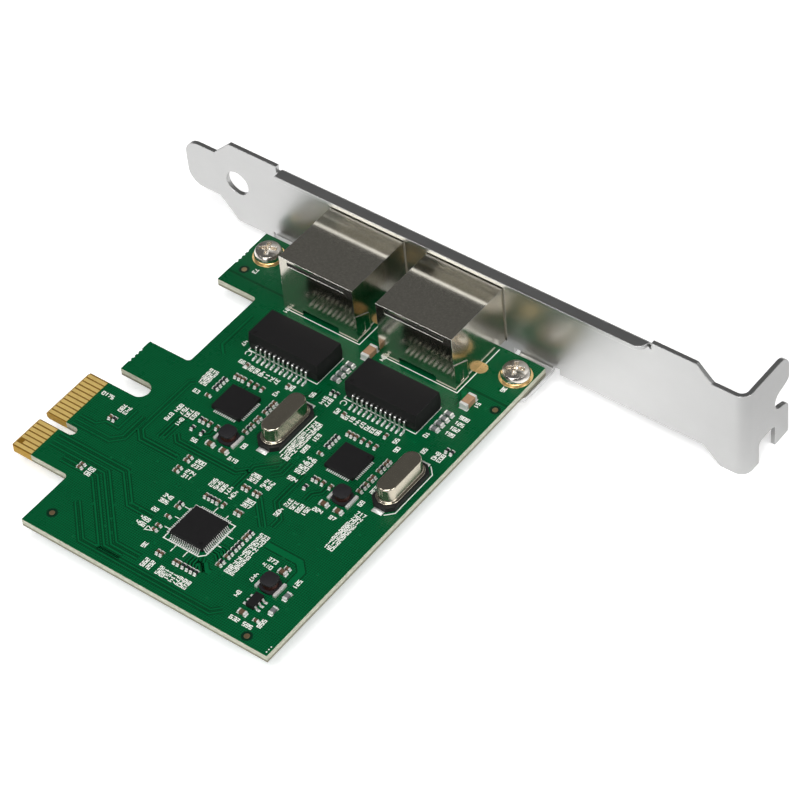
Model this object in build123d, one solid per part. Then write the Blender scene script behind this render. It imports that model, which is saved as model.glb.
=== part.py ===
from build123d import *
import math
import os

# Two-port network interface card for an x1 expansion slot, in millimetres.
# The origin is on the centreline of the key notch, at the outer edge of the contact tongue and
# in the middle of the board. +X runs from the bracket to the free end of the card, +Y away from
# the slot, and +Z out of the component side.

# Board
board_thickness = 1.57
board_top_y = 65.65
board_main_y = 13.08
board_tab_y = 4.09
board_corner_radius = 0.8
near_tab_length = 13.9
hook_tab_length = 7.86
latch_slot_width = 3.78
latch_slot_top_y = 12.1
far_overhang = 11.75
bracket_side_gap = 1.87
break_off_width = 0.6
break_off_depth = 0.25
break_off_pitch = 1.0
break_off_bites = 4

# Contact tongue
contact_pitch = 1.0
contact_width = 0.7
contact_length = 4.05
contact_setback = 0.5
contact_thickness = 0.05
long_side_contacts = 11
short_side_contacts = 7
short_contact_index = 5
short_contact_cut = 1.1
key_to_contact = 1.5
contact_to_side = 0.65
key_width = 1.9
key_top_y = 7.7
bevel_length = 0.45
bevel_drop = 0.35

# Bracket sheet
sheet = 0.86
bracket_face_to_key = 59.05
bracket_width = 18.42
bracket_length = 120.02
bracket_tip_y = -14.99
tongue_width = 10.3
tongue_offset = 0.35
tongue_end_y = -8.0
tongue_shoulder = 3.9
tongue_corner = 3.2
tongue_hole_y = -3.2
tongue_hole_diameter = 5.1
neck_drop = 3.1
neck_width = 18.7
neck_length = 9.73
tab_depth = 13.1
tab_bend_radius = 1.3
tab_corner = 2.8
tab_slot_width = 5.0
tab_slot_depth = 4.95
tab_slot_start = 4.1
tab_slot_corner = 1.0
tab_bight_radius = 2.1
tab_bight_height = 9.9
tab_bight_flare = 0.8
tab_prong_corner = 1.1
flange_depth = 2.05
flange_start_y = 8.1
flange_end_y = 86.0
flange_corner = 1.9
fold_radius = 0.4
relief_width = 1.3
relief_depth = 1.35
narrow_relief = 0.5

# Lugs and screws that hold the board
lug_reach = 9.4
lug_half_width = 3.5
lug_corner = 1.5
screw_x = -52.05
screw_y = 8.1
screw_spacing = 54.4
screw_diameter = 3.0
screw_clearance = 0.15
thread_clearance = 0.05
screw_length = 5.0
screw_head_diameter = 5.3
screw_head_height = 2.0
screw_head_slope = 0.45
cross_width = 0.75
cross_length = 2.9
cross_depth = 1.1

# Modular jacks
jack_x_back = -43.5
jack_middle_offset = 2.05
port_pitch = 21.2
jack_width = 16.1
jack_height = 12.3
jack_protrusion = 0.75
jack_cutout_gap = 0.25
shell_wall = 0.3
shell_fit = 0.05
shell_slot_width = 12.5
shell_slot_height = 0.9
shell_slot_drop = 0.55
shell_window_width = 8.0
shell_window_height = 1.4
shell_leg_width = 1.5
shell_leg_x = -50.25
shell_leg_tail = 1.1
shell_flap_reach = 3.7
shell_flap_top = 6.1
shell_flap_low = 4.4
shell_flap_thickness = 0.15
shell_flap_window_height = 2.4
shell_flap_window_width = 0.9
shell_flap_window_setback = 1.5
shell_flap_window_z = 1.0
plug_width = 11.9
plug_height = 6.9
plug_depth = 13.0
plug_floor = 2.1
latch_wide = 6.3
latch_wide_rise = 1.35
latch_narrow = 3.4
latch_narrow_rise = 1.15
mouth_margin = 0.2
light_width = 2.6
light_height = 1.9
light_depth = 4.0
light_fit = 0.06
jack_peg_diameter = 3.1
jack_peg_sides = 8
jack_peg_spacing = 11.43
jack_peg_setback = 8.4
jack_peg_tail = 0.9
peg_hole_clearance = 0.1
wire_count = 8
wire_pitch = 1.02
wire_width = 0.45
wire_thickness = 0.3
wire_groove_width = 9.2
wire_groove_floor = 0.6
wire_front_gap = 3.2
wire_rise = 3.0
wire_spring_length = 6.2
wire_pin_tail = 1.1
wire_pin_step = 1.8
wire_pin_setback = 1.9
solder_gap = 0.05

# Magnetics modules
transformer_x = -35.4
transformer_y = 27.7
transformer_width = 7.1
transformer_length = 15.1
transformer_height = 4.1
transformer_standoff = 0.25
transformer_draft = 0.25
transformer_lead_count = 12
transformer_lead_pitch = 1.0
transformer_lead_width = 0.42
transformer_lead_sheet = 0.25
transformer_lead_height = 2.1
transformer_lead_slope = 0.75
transformer_lead_foot = 1.1

# Controller packages
controller_x = -20.3
controller_y = 26.55
channel_pitch = 24.55
controller_size = 6.0
controller_height = 0.85

# Bridge package
bridge_x = 5.4
bridge_y = 39.7
bridge_size = 7.0
bridge_height = 1.1
bridge_standoff = 0.1
bridge_draft = 8.0
bridge_lead_count = 16
bridge_lead_pitch = 0.4
bridge_lead_width = 0.18
bridge_lead_sheet = 0.12
bridge_lead_slope = 0.27
bridge_lead_foot = 0.45

# Crystals
crystal_x = -20.7
crystal_y = 37.1
can_length = 10.1
can_width = 3.5
can_height = 3.2
can_edge_chamfer = 0.3
can_rim_growth = 0.45
can_rim_height = 0.35
crystal_base_length = 11.8
crystal_base_width = 4.9
crystal_base_height = 1.0
crystal_base_chamfer = 1.2
crystal_pad_width = 2.1
crystal_pad_length = 0.85
crystal_pad_height = 0.35

# Power inductors
inductor_size = 3.3
inductor_corner = 0.9
inductor_base_height = 0.45
inductor_post = 1.5
inductor_winding_diameter = 2.7
inductor_winding_sides = 12
inductor_winding_height = 1.15
inductor_top_diameter = 3.4
inductor_top_sides = 16
inductor_top_height = 0.4
inductor_end_width = 3.0
inductor_end_length = 0.55
inductor_height_above_board = 0.05

# Regulator
regulator_x = 12.3
regulator_y = 57.2
regulator_length = 2.9
regulator_width = 1.6
regulator_height = 1.1
regulator_standoff = 0.1
regulator_lead_count = 3
regulator_lead_pitch = 0.95
regulator_lead_width = 0.4
regulator_lead_sheet = 0.13
regulator_lead_slope = 0.22
regulator_lead_foot = 0.4

# Chip parts: length, width and height of a body, and the length of each tinned end
small_chip = (1.0, 0.5, 0.45)
medium_chip = (1.6, 0.82, 0.55)
medium_end = 0.35
large_chip = (3.0, 1.55, 1.2)
large_end = 0.5
end_growth = 0.04
large_chip_gap = 0.7
large_capacitor_x = -42.3

# Planes and edges that follow from the sizes above
board_top = board_thickness / 2
board_bottom = -board_thickness / 2
bracket_outer_x = -bracket_face_to_key
bracket_inner_x = bracket_outer_x + sheet
bracket_bottom = board_bottom - sheet
bracket_top = bracket_bottom + bracket_width
bracket_tab_y = bracket_tip_y + bracket_length
neck_top = bracket_top - neck_drop
neck_bottom = neck_top - neck_width
neck_start_y = bracket_tab_y - neck_length
long_side_x = -(key_to_contact + (long_side_contacts - 1) * contact_pitch + contact_to_side)
short_side_x = key_to_contact + (short_side_contacts - 1) * contact_pitch + contact_to_side
board_bracket_x = bracket_inner_x + bracket_side_gap
board_far_x = short_side_x + far_overhang
hook_end_x = long_side_x - latch_slot_width
hook_start_x = hook_end_x - hook_tab_length
near_tab_x = board_bracket_x + near_tab_length
jack_front_x = bracket_outer_x - jack_protrusion
jack_top = board_top + jack_height
screw_places = [(screw_x, screw_y), (screw_x, screw_y + screw_spacing)]
jack_middle_y = screw_y + screw_spacing / 2 + jack_middle_offset
jack_centres = [jack_middle_y - port_pitch / 2, jack_middle_y + port_pitch / 2]
transformer_centres = [(transformer_x, transformer_y + n * port_pitch) for n in range(2)]
controller_centres = [(controller_x, controller_y + n * channel_pitch) for n in range(2)]
crystal_centres = [(crystal_x, crystal_y + n * channel_pitch) for n in range(2)]


def block(x0, x1, y0, y1, z0, z1):
    """Box between two corners."""
    centre = ((x0 + x1) / 2, (y0 + y1) / 2, (z0 + z1) / 2)
    return Pos(*centre) * Box(abs(x1 - x0), abs(y1 - y0), abs(z1 - z0))


def drill(x, y, diameter, z0, z1):
    """Upright cylinder from z0 to z1."""
    return Pos(x, y, (z0 + z1) / 2) * Cylinder(diameter / 2, z1 - z0)


def ribbon_xy(points, z0, z1):
    """Prism over an outline drawn in the XY plane."""
    return extrude(Pos(0, 0, z0) * make_face(Polyline(*points, close=True)), z1 - z0)


def prism_along_y(points, y0, y1):
    """Prism over an outline drawn as X, Z pairs, from y0 to y1."""
    outline = make_face(Polyline(*[(x, y0, z) for x, z in points], close=True))
    return extrude(outline, y1 - y0, dir=(0, 1, 0))


def prism_along_x(points, x0, x1):
    """Prism over an outline drawn as Y, Z pairs, from x0 to x1."""
    outline = make_face(Polyline(*[(x0, y, z) for y, z in points], close=True))
    return extrude(outline, x1 - x0, dir=(1, 0, 0))


def upright_edges(solid, places):
    """Edges parallel to Z that stand at the given X, Y places."""
    found = []
    for edge in solid.edges().filter_by(Axis.Z):
        centre = edge.center()
        if any(math.hypot(centre.X - x, centre.Y - y) < 0.01 for x, y in places):
            found.append(edge)
    return found


def turned(solid, angle, x, y):
    """Solid modelled at the origin, turned about Z and set down at x, y."""
    return Pos(x, y, 0) * Rot(0, 0, angle) * solid


def write(name, *solids):
    """Write one node, which may be a group of separate solids."""
    shape = solids[0] if len(solids) == 1 else Compound(children=list(solids))
    export_step(shape, f"parts/{name}.step")


# Board
def board_outline():
    """Outline of the board without its slots."""
    return [
        (board_bracket_x, board_tab_y),
        (near_tab_x, board_tab_y),
        (near_tab_x, board_main_y),
        (hook_start_x, board_main_y),
        (hook_start_x, board_tab_y),
        (long_side_x, board_tab_y),
        (long_side_x, 0),
        (short_side_x, 0),
        (short_side_x, board_main_y),
        (board_far_x, board_main_y),
        (board_far_x, board_top_y),
        (board_bracket_x, board_top_y),
    ]


def round_ended_slot(x, width, y0, y1):
    """Cutter for a slot that is open at y0 and has a round end at y1."""
    radius = width / 2
    straight = block(x - radius, x + radius, y0, y1 - radius, board_bottom, board_top)
    return straight + drill(x, y1 - radius, width, board_bottom, board_top)


def contact_bevel(side):
    """Wedge that the bevel takes off one face of the contact tongue."""
    face = side * board_top
    points = [(0, face), (bevel_length, face), (0, face - side * bevel_drop)]
    return prism_along_x(points, long_side_x, short_side_x)


def break_off_cutters():
    """Small bites left where the board was snapped out of its panel."""
    span = (break_off_bites - 1) * break_off_pitch
    tabs = [(board_bracket_x + near_tab_x) / 2, (hook_start_x + hook_end_x) / 2]
    places = [middle - span / 2 + n * break_off_pitch for middle in tabs for n in range(break_off_bites)]
    wide = break_off_width / 2
    narrow = break_off_width / 4
    y0 = board_tab_y
    y1 = board_tab_y + break_off_depth
    bites = []
    for x in places:
        outline = [(x - wide, y0), (x + wide, y0), (x + narrow, y1), (x - narrow, y1)]
        bites.append(ribbon_xy(outline, board_bottom, board_top))
    return bites


def wire_pin_places(centre_y):
    """X, Y of the board pins of one jack, in two staggered rows."""
    first = centre_y - (wire_count - 1) / 2 * wire_pitch
    x_rear = jack_x_back - shell_wall - wire_pin_setback
    return [(x_rear - (n % 2) * wire_pin_step, first + n * wire_pitch) for n in range(wire_count)]


def jack_peg_places(centre_y):
    """X, Y of the two locating pegs of one jack."""
    x = jack_front_x + jack_peg_setback
    return [(x, centre_y - jack_peg_spacing / 2), (x, centre_y + jack_peg_spacing / 2)]


def peg(x, y, grow, length):
    """Locating peg, or with grow the cutter for its hole, down from the board's top face."""
    outline = Pos(x, y, board_top) * RegularPolygon(jack_peg_diameter / 2 + grow, jack_peg_sides)
    return extrude(outline, -length)


def shell_leg_places(centre_y):
    """X, Y of the middle of the two shield legs of one jack."""
    reach = (jack_width - shell_wall) / 2
    return [(shell_leg_x, centre_y - reach), (shell_leg_x, centre_y + reach)]


def board_holes():
    """Cutters for every hole through the board. A soldered hole is as its solder leaves it, close to the pin."""
    bore = screw_diameter + 2 * screw_clearance
    cutters = [drill(x, y, bore, board_bottom, board_top) for x, y in screw_places]
    soldered = []
    for centre_y in jack_centres:
        cutters += [peg(x, y, peg_hole_clearance, board_thickness) for x, y in jack_peg_places(centre_y)]
        soldered += [(x, y, wire_thickness, wire_width) for x, y in wire_pin_places(centre_y)]
        soldered += [(x, y, shell_leg_width, shell_wall) for x, y in shell_leg_places(centre_y)]
    for x, y, length, width in soldered:
        a = length / 2 + solder_gap
        b = width / 2 + solder_gap
        cutters.append(block(x - a, x + a, y - b, y + b, board_bottom, board_top))
    return cutters


def make_board():
    board = ribbon_xy(board_outline(), board_bottom, board_top)
    inner_corners = [(near_tab_x, board_main_y), (hook_start_x, board_main_y), (short_side_x, board_main_y)]
    board = fillet(upright_edges(board, inner_corners), board_corner_radius)
    tip_corners = [(long_side_x, 0), (short_side_x, 0)]
    board = chamfer(upright_edges(board, tip_corners), bevel_length)
    board -= round_ended_slot(hook_end_x + latch_slot_width / 2, latch_slot_width, 0, latch_slot_top_y)
    board -= round_ended_slot(0, key_width, 0, key_top_y)
    for cutter in [contact_bevel(1), contact_bevel(-1)] + break_off_cutters() + board_holes():
        board -= cutter
    return board


def contact_columns():
    """X of every contact and how far its outer end is cut back."""
    long_side = [-key_to_contact - n * contact_pitch for n in range(long_side_contacts)]
    short_side = [key_to_contact + n * contact_pitch for n in range(short_side_contacts)]
    cuts = [short_contact_cut if n == short_contact_index else 0 for n in range(short_side_contacts)]
    return [(x, 0) for x in long_side] + list(zip(short_side, cuts))


def make_contacts(z0, z1):
    """Gold fingers on one face of the tongue."""
    half = contact_width / 2
    y1 = contact_setback + contact_length
    columns = contact_columns()
    return [block(x - half, x + half, contact_setback + cut, y1, z0, z1) for x, cut in columns]


# Bracket
def bracket_ribbon():
    """Plate, bend and tab as one strip, seen along Z, over the full height."""
    outer_bend = tab_bend_radius + sheet
    bend_x = bracket_outer_x - tab_bend_radius
    bend_y = bracket_tab_y - outer_bend
    end_x = bracket_inner_x - tab_depth
    half = math.sqrt(0.5)
    with BuildSketch() as section:
        with BuildLine():
            Line((bracket_inner_x, bracket_tip_y), (bracket_inner_x, bend_y))
            ThreePointArc(
                (bracket_inner_x, bend_y),
                (bend_x + outer_bend * half, bend_y + outer_bend * half),
                (bend_x, bracket_tab_y),
            )
            Line((bend_x, bracket_tab_y), (end_x, bracket_tab_y))
            Line((end_x, bracket_tab_y), (end_x, bracket_tab_y - sheet))
            Line((end_x, bracket_tab_y - sheet), (bend_x, bracket_tab_y - sheet))
            ThreePointArc(
                (bend_x, bracket_tab_y - sheet),
                (bend_x + tab_bend_radius * half, bend_y + tab_bend_radius * half),
                (bracket_outer_x, bend_y),
            )
            Line((bracket_outer_x, bend_y), (bracket_outer_x, bracket_tip_y))
            Line((bracket_outer_x, bracket_tip_y), (bracket_inner_x, bracket_tip_y))
        make_face()
    height = bracket_top - neck_bottom
    return extrude(Pos(0, 0, neck_bottom) * section.sketch, height)


def bracket_side_profile():
    """Prism that gives the strip its tongue, shoulders, body and neck, seen along X."""
    middle = (bracket_bottom + bracket_top) / 2 + tongue_offset
    tongue_low = middle - tongue_width / 2
    tongue_high = middle + tongue_width / 2
    body_y = tongue_end_y + tongue_shoulder
    neck_step = bracket_bottom - neck_bottom
    neck_low_y = neck_start_y + relief_width
    points = [
        (bracket_tip_y, tongue_low),
        (tongue_end_y, tongue_low),
        (body_y, bracket_bottom),
        (neck_low_y, bracket_bottom),
        (neck_low_y + neck_step, neck_bottom),
        (bracket_tab_y, neck_bottom),
        (bracket_tab_y, neck_top),
        (neck_start_y + neck_drop, neck_top),
        (neck_start_y, bracket_top),
        (body_y, bracket_top),
        (tongue_end_y, tongue_high),
        (bracket_tip_y, tongue_high),
    ]
    profile = prism_along_x(points, bracket_inner_x - tab_depth, bracket_inner_x)
    tips = [e for e in profile.edges().filter_by(Axis.X) if abs(e.center().Y - bracket_tip_y) < 0.01]
    return fillet(tips, tongue_corner)


def fold_section(x_end, z_flat, side):
    """Section of a fold toward the board: quarter bend and flat, as a face in the XZ plane."""
    bend = fold_radius + sheet
    half = math.sqrt(0.5)
    centre_x = bracket_inner_x + fold_radius
    centre_z = z_flat - side * bend
    with BuildSketch(Plane.XZ) as section:
        with BuildLine():
            Line((bracket_inner_x, centre_z), (bracket_outer_x, centre_z))
            ThreePointArc(
                (bracket_outer_x, centre_z),
                (centre_x - bend * half, centre_z + side * bend * half),
                (centre_x, z_flat),
            )
            Line((centre_x, z_flat), (x_end, z_flat))
            Line((x_end, z_flat), (x_end, z_flat - side * sheet))
            Line((x_end, z_flat - side * sheet), (centre_x, z_flat - side * sheet))
            ThreePointArc(
                (centre_x, z_flat - side * sheet),
                (centre_x - fold_radius * half, centre_z + side * fold_radius * half),
                (bracket_inner_x, centre_z),
            )
        make_face()
    return section.sketch


def make_fold(x_end, z_flat, side, y0, y1):
    """Folded strip between y0 and y1."""
    return extrude(Pos(0, y0, 0) * fold_section(x_end, z_flat, side), y1 - y0, dir=(0, 1, 0))


def fold_clearance(z_flat, side, y0, y1):
    """Cutter that takes the plate's square edge away where a fold replaces it."""
    z_bend = z_flat - side * (fold_radius + sheet)
    return block(bracket_outer_x, bracket_inner_x, y0, y1, z_bend, z_flat)


def relief_cut(y0, y1, z_flat, side):
    """Small notch beside a fold."""
    return block(bracket_outer_x, bracket_inner_x, y0, y1, z_flat - side * relief_depth, z_flat)


def make_flange():
    """Stiffening flange along the upper edge of the plate."""
    x_end = bracket_inner_x + flange_depth
    flange = make_fold(x_end, bracket_top, 1, flange_start_y, flange_end_y)
    return fillet(upright_edges(flange, [(x_end, flange_end_y)]), flange_corner)


def make_lug(x, y):
    """Lug under the board with the hole that the screw is driven into."""
    x_end = bracket_inner_x + lug_reach
    y0 = y - lug_half_width
    y1 = y + lug_half_width
    lug = make_fold(x_end, bracket_bottom, -1, y0, y1)
    lug = fillet(upright_edges(lug, [(x_end, y0), (x_end, y1)]), lug_corner)
    return lug - drill(x, y, screw_diameter + 2 * thread_clearance, bracket_bottom, board_bottom)


def tab_cutters():
    """Screw slot, bight and rounded corners of the tab, cut along Y."""
    y0 = bracket_tab_y - sheet
    y1 = bracket_tab_y
    end_x = bracket_inner_x - tab_depth
    slot_x1 = bracket_inner_x - tab_slot_start
    slot_x0 = slot_x1 - tab_slot_width
    slot = block(slot_x0, slot_x1, y0, y1, neck_bottom, neck_bottom + tab_slot_depth)
    top_edges = [e for e in slot.edges().filter_by(Axis.Y) if e.center().Z > neck_bottom + tab_slot_corner]
    slot = fillet(top_edges, tab_slot_corner)
    bight_z = neck_bottom + tab_bight_height
    bight_x = end_x + tab_bight_radius
    bight_round = Pos(bight_x, (y0 + y1) / 2, bight_z) * Rot(90, 0, 0) * Cylinder(tab_bight_radius, sheet)
    flare = tab_bight_radius + tab_bight_flare
    mouth = prism_along_y(
        [
            (bight_x, bight_z - tab_bight_radius),
            (end_x, bight_z - flare),
            (end_x, bight_z + flare),
            (bight_x, bight_z + tab_bight_radius),
        ],
        y0,
        y1,
    )
    return [slot, bight_round, mouth]


def tab_corners(bracket, z):
    """Corner of the tab's free end at height z."""
    end_x = bracket_inner_x - tab_depth
    corners = []
    for edge in bracket.edges().filter_by(Axis.Y):
        centre = edge.center()
        if abs(centre.X - end_x) < 0.01 and abs(centre.Z - z) < 0.01:
            corners.append(edge)
    return corners


def make_bracket():
    bracket = bracket_ribbon() & bracket_side_profile()
    bracket -= fold_clearance(bracket_top, 1, flange_start_y, flange_end_y)
    bracket += make_flange()
    bracket -= relief_cut(flange_start_y - relief_width, flange_start_y, bracket_top, 1)
    bracket -= relief_cut(flange_end_y, flange_end_y + narrow_relief, bracket_top, 1)
    reliefs = [(narrow_relief, relief_width), (relief_width, relief_width)]
    for (x, y), (before, after) in zip(screw_places, reliefs):
        y0 = y - lug_half_width
        y1 = y + lug_half_width
        bracket -= fold_clearance(bracket_bottom, -1, y0, y1)
        bracket += make_lug(x, y)
        bracket -= relief_cut(y0 - before, y0, bracket_bottom, -1)
        bracket -= relief_cut(y1, y1 + after, bracket_bottom, -1)
    hole_z = (bracket_bottom + bracket_top) / 2 + tongue_offset
    hole = Pos((bracket_outer_x + bracket_inner_x) / 2, tongue_hole_y, hole_z) * Rot(0, 90, 0)
    bracket -= hole * Cylinder(tongue_hole_diameter / 2, sheet)
    for centre_y in jack_centres:
        half = jack_width / 2 + jack_cutout_gap
        z0 = board_top - jack_cutout_gap
        z1 = jack_top + jack_cutout_gap
        bracket -= block(bracket_outer_x, bracket_inner_x, centre_y - half, centre_y + half, z0, z1)
    for cutter in tab_cutters():
        bracket -= cutter
    flare = tab_bight_radius + tab_bight_flare
    bight_z = neck_bottom + tab_bight_height
    bracket = fillet(tab_corners(bracket, neck_top), tab_corner)
    bracket = fillet(tab_corners(bracket, bight_z + flare), tab_prong_corner)
    return fillet(tab_corners(bracket, bight_z - flare), tab_prong_corner)


def make_screw(x, y):
    """Pan-head screw through the board into the lug. Its thread is plain."""
    radius = screw_head_diameter / 2
    z1 = board_top + screw_head_height
    head = Pos(0, 0, (board_top + z1) / 2) * Cone(radius, radius - screw_head_slope, screw_head_height)
    shank = drill(0, 0, screw_diameter, board_top - screw_length, board_top)
    arm = block(-cross_length / 2, cross_length / 2, -cross_width / 2, cross_width / 2, z1 - cross_depth, z1)
    screw = head + shank - arm - Rot(0, 0, 90) * arm
    return turned(screw, 25, x, y)


# Modular jacks
def plug_section(grow):
    """Mouth of the jack as Y, Z pairs about its centre, with the latch keyway on top."""
    half = plug_width / 2 + grow
    wide = latch_wide / 2 + grow
    narrow = latch_narrow / 2 + grow
    z0 = board_top + plug_floor - grow
    z1 = board_top + plug_floor + plug_height + grow
    z2 = z1 + latch_wide_rise
    z3 = z2 + latch_narrow_rise - grow
    return [
        (-half, z0), (half, z0), (half, z1), (wide, z1), (wide, z2), (narrow, z2),
        (narrow, z3), (-narrow, z3), (-narrow, z2), (-wide, z2), (-wide, z1), (-half, z1),
    ]


def light_boxes(centre_y, grow):
    """The two signal light bars beside the latch keyway."""
    z1 = jack_top - shell_wall - shell_fit + grow
    z0 = z1 - light_height - 2 * grow
    outer = jack_width / 2 - shell_wall - shell_fit - 0.5 + grow
    inner = outer - light_width - 2 * grow
    x1 = jack_front_x + light_depth + grow
    sides = [(-outer, -inner), (inner, outer)]
    return [block(jack_front_x, x1, centre_y + a, centre_y + b, z0, z1) for a, b in sides]


def make_shell(centre_y):
    """Stamped shield: top, sides, back and front rim, open to the board."""
    half = jack_width / 2
    y0 = centre_y - half
    y1 = centre_y + half
    shell = block(jack_front_x, jack_x_back, y0, y1, board_top, jack_top)
    inside = block(
        jack_front_x + shell_wall, jack_x_back - shell_wall,
        y0 + shell_wall, y1 - shell_wall, board_top, jack_top - shell_wall,
    )
    shell -= inside
    mouth = [(centre_y + y, z) for y, z in plug_section(mouth_margin)]
    shell -= prism_along_x(mouth, jack_front_x, jack_front_x + shell_wall)
    for light in light_boxes(centre_y, light_fit):
        shell -= light & block(
            jack_front_x, jack_front_x + shell_wall, y0 + shell_wall, y1 - shell_wall,
            board_top, jack_top - shell_wall,
        )
    x0 = jack_x_back - shell_wall
    slot_z1 = jack_top - shell_slot_drop
    slot = shell_slot_width / 2
    shell -= block(x0, jack_x_back, centre_y - slot, centre_y + slot, slot_z1 - shell_slot_height, slot_z1)
    window = shell_window_width / 2
    window_z1 = board_top + shell_window_height
    shell -= block(x0, jack_x_back, centre_y - window, centre_y + window, board_top, window_z1)
    for x, y in shell_leg_places(centre_y):
        leg = shell_leg_width / 2
        wall = shell_wall / 2
        shell += block(x - leg, x + leg, y - wall, y + wall, board_bottom - shell_leg_tail, board_top)
    for side in (-1, 1):
        shell += cover_flap(centre_y, side)
    return shell


def cover_flap(centre_y, side):
    """Flap of the rear cover, folded round one side and latched through its window."""
    face = centre_y + side * jack_width / 2
    x0 = jack_x_back - shell_flap_reach
    points = [
        (x0, board_top),
        (jack_x_back, board_top),
        (jack_x_back, board_top + shell_flap_top),
        (x0, board_top + shell_flap_low),
    ]
    flap = prism_along_y(points, face, face + side * shell_flap_thickness)
    window_x = jack_x_back - shell_flap_window_setback
    window_z = board_top + shell_flap_window_z
    return flap - block(
        window_x - shell_flap_window_width, window_x, face, face + side * shell_flap_thickness,
        window_z, window_z + shell_flap_window_height,
    )


def make_housing(centre_y):
    """Moulded insert with the plug cavity, the contact groove and two locating pegs."""
    half = jack_width / 2 - shell_wall - shell_fit
    x0 = jack_front_x + shell_wall + shell_fit
    x1 = jack_x_back - shell_wall - shell_fit
    z1 = jack_top - shell_wall - shell_fit
    housing = block(x0, x1, centre_y - half, centre_y + half, board_top, z1)
    cavity = [(centre_y + y, z) for y, z in plug_section(0)]
    housing -= prism_along_x(cavity, x0, jack_front_x + plug_depth)
    groove = wire_groove_width / 2
    groove_z = board_top + wire_groove_floor
    floor_z = board_top + plug_floor
    groove_x = jack_front_x + wire_front_gap - wire_thickness
    housing -= block(groove_x, x1, centre_y - groove, centre_y + groove, groove_z, floor_z)
    well_x = jack_x_back - shell_wall - wire_pin_setback - wire_pin_step - wire_thickness
    housing -= block(well_x, x1, centre_y - groove, centre_y + groove, board_top, groove_z)
    for light in light_boxes(centre_y, light_fit):
        housing -= light
    for x, y in jack_peg_places(centre_y):
        housing += peg(x, y, 0, board_thickness + jack_peg_tail)
    return housing


def make_wire(pin_x, y):
    """One spring contact: board pin, run along the groove, and the free end in the cavity."""
    t = wire_thickness
    z_low = board_top + wire_groove_floor + shell_fit
    z_pin = board_bottom - wire_pin_tail
    x_front = jack_front_x + wire_front_gap
    x_tip = x_front + wire_spring_length
    z_tip = z_low + t + wire_rise
    points = [
        (pin_x + t / 2, z_pin),
        (pin_x + t / 2, z_low + t),
        (x_front + 2 * t, z_low + t),
        (x_tip, z_tip),
        (x_front, z_low + t),
        (x_front, z_low),
        (pin_x - t / 2, z_low),
        (pin_x - t / 2, z_pin),
    ]
    return prism_along_y(points, y - wire_width / 2, y + wire_width / 2)


def make_wires(centre_y):
    return [make_wire(x, y) for x, y in wire_pin_places(centre_y)]


# Packages with formed leads
def lead(reach, z_top, sheet_size, slope, foot, width, toe):
    """Formed lead that leaves the body at reach and z_top, slopes down and ends in a foot on the board.
    The foot thins down to the toe at its end, and a toe of zero brings it to an edge."""
    x1 = reach + slope
    x2 = x1 + foot
    points = [
        (reach, z_top),
        (reach, z_top - sheet_size),
        (x1 - sheet_size / 2, board_top),
        (x2, board_top),
        (x1 + sheet_size / 2, board_top + sheet_size),
    ]
    if toe:
        points.insert(4, (x2, board_top + toe))
    return prism_along_y(points, -width / 2, width / 2)


def lead_row(one, count, pitch):
    """Copies of one lead along Y, about the middle of the side."""
    first = -(count - 1) / 2 * pitch
    return [Pos(0, first + n * pitch, 0) * one for n in range(count)]


def make_transformer(x, y):
    """Moulded magnetics body with drafted sides."""
    half = transformer_width / 2
    z0 = board_top + transformer_standoff
    z1 = board_top + transformer_height
    z_part = board_top + transformer_lead_height
    points = [
        (-half + transformer_draft, z0), (half - transformer_draft, z0), (half, z_part),
        (half - transformer_draft, z1), (transformer_draft - half, z1), (-half, z_part),
    ]
    body = prism_along_y(points, -transformer_length / 2, transformer_length / 2)
    return turned(body, 0, x, y)


def make_transformer_leads(x, y):
    one = lead(
        transformer_width / 2, board_top + transformer_lead_height + transformer_lead_sheet / 2,
        transformer_lead_sheet, transformer_lead_slope, transformer_lead_foot, transformer_lead_width,
        transformer_lead_sheet,
    )
    row = lead_row(one, transformer_lead_count, transformer_lead_pitch)
    return [turned(piece, angle, x, y) for angle in (0, 180) for piece in row]


def make_controller(x, y):
    """Flat leadless package."""
    half = controller_size / 2
    return turned(block(-half, half, -half, half, board_top, board_top + controller_height), 0, x, y)


def drafted_body(length, width, height, standoff, draft):
    """Moulded package that narrows from its parting line to the top and the bottom."""
    z_part = board_top + standoff + height / 2
    section = Pos(0, 0, z_part) * Rectangle(length, width)
    upper = extrude(section, height / 2, taper=draft)
    lower = extrude(section, -height / 2, taper=draft)
    return upper + lower


def make_bridge():
    body = drafted_body(bridge_size, bridge_size, bridge_height - bridge_standoff, bridge_standoff, bridge_draft)
    return turned(body, 0, bridge_x, bridge_y)


def make_bridge_leads():
    z_mid = board_top + (bridge_standoff + bridge_height) / 2
    one = lead(
        bridge_size / 2, z_mid + bridge_lead_sheet / 2, bridge_lead_sheet,
        bridge_lead_slope, bridge_lead_foot, bridge_lead_width, 0,
    )
    row = lead_row(one, bridge_lead_count, bridge_lead_pitch)
    return [turned(piece, angle, bridge_x, bridge_y) for angle in (0, 90, 180, 270) for piece in row]


def make_regulator():
    body = drafted_body(
        regulator_length, regulator_width, regulator_height - regulator_standoff,
        regulator_standoff, bridge_draft,
    )
    return turned(body, 0, regulator_x, regulator_y)


def make_regulator_leads():
    z_mid = board_top + (regulator_standoff + regulator_height) / 2
    one = lead(
        regulator_width / 2, z_mid + regulator_lead_sheet / 2, regulator_lead_sheet,
        regulator_lead_slope, regulator_lead_foot, regulator_lead_width, 0,
    )
    row = lead_row(one, regulator_lead_count, regulator_lead_pitch)
    return [turned(piece, angle, regulator_x, regulator_y) for angle in (90, 270) for piece in row]


# Crystals
def stadium(length, width, z0, z1):
    """Round-ended prism along X."""
    return extrude(Pos(0, 0, z0) * SlotOverall(length, width), z1 - z0)


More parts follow.
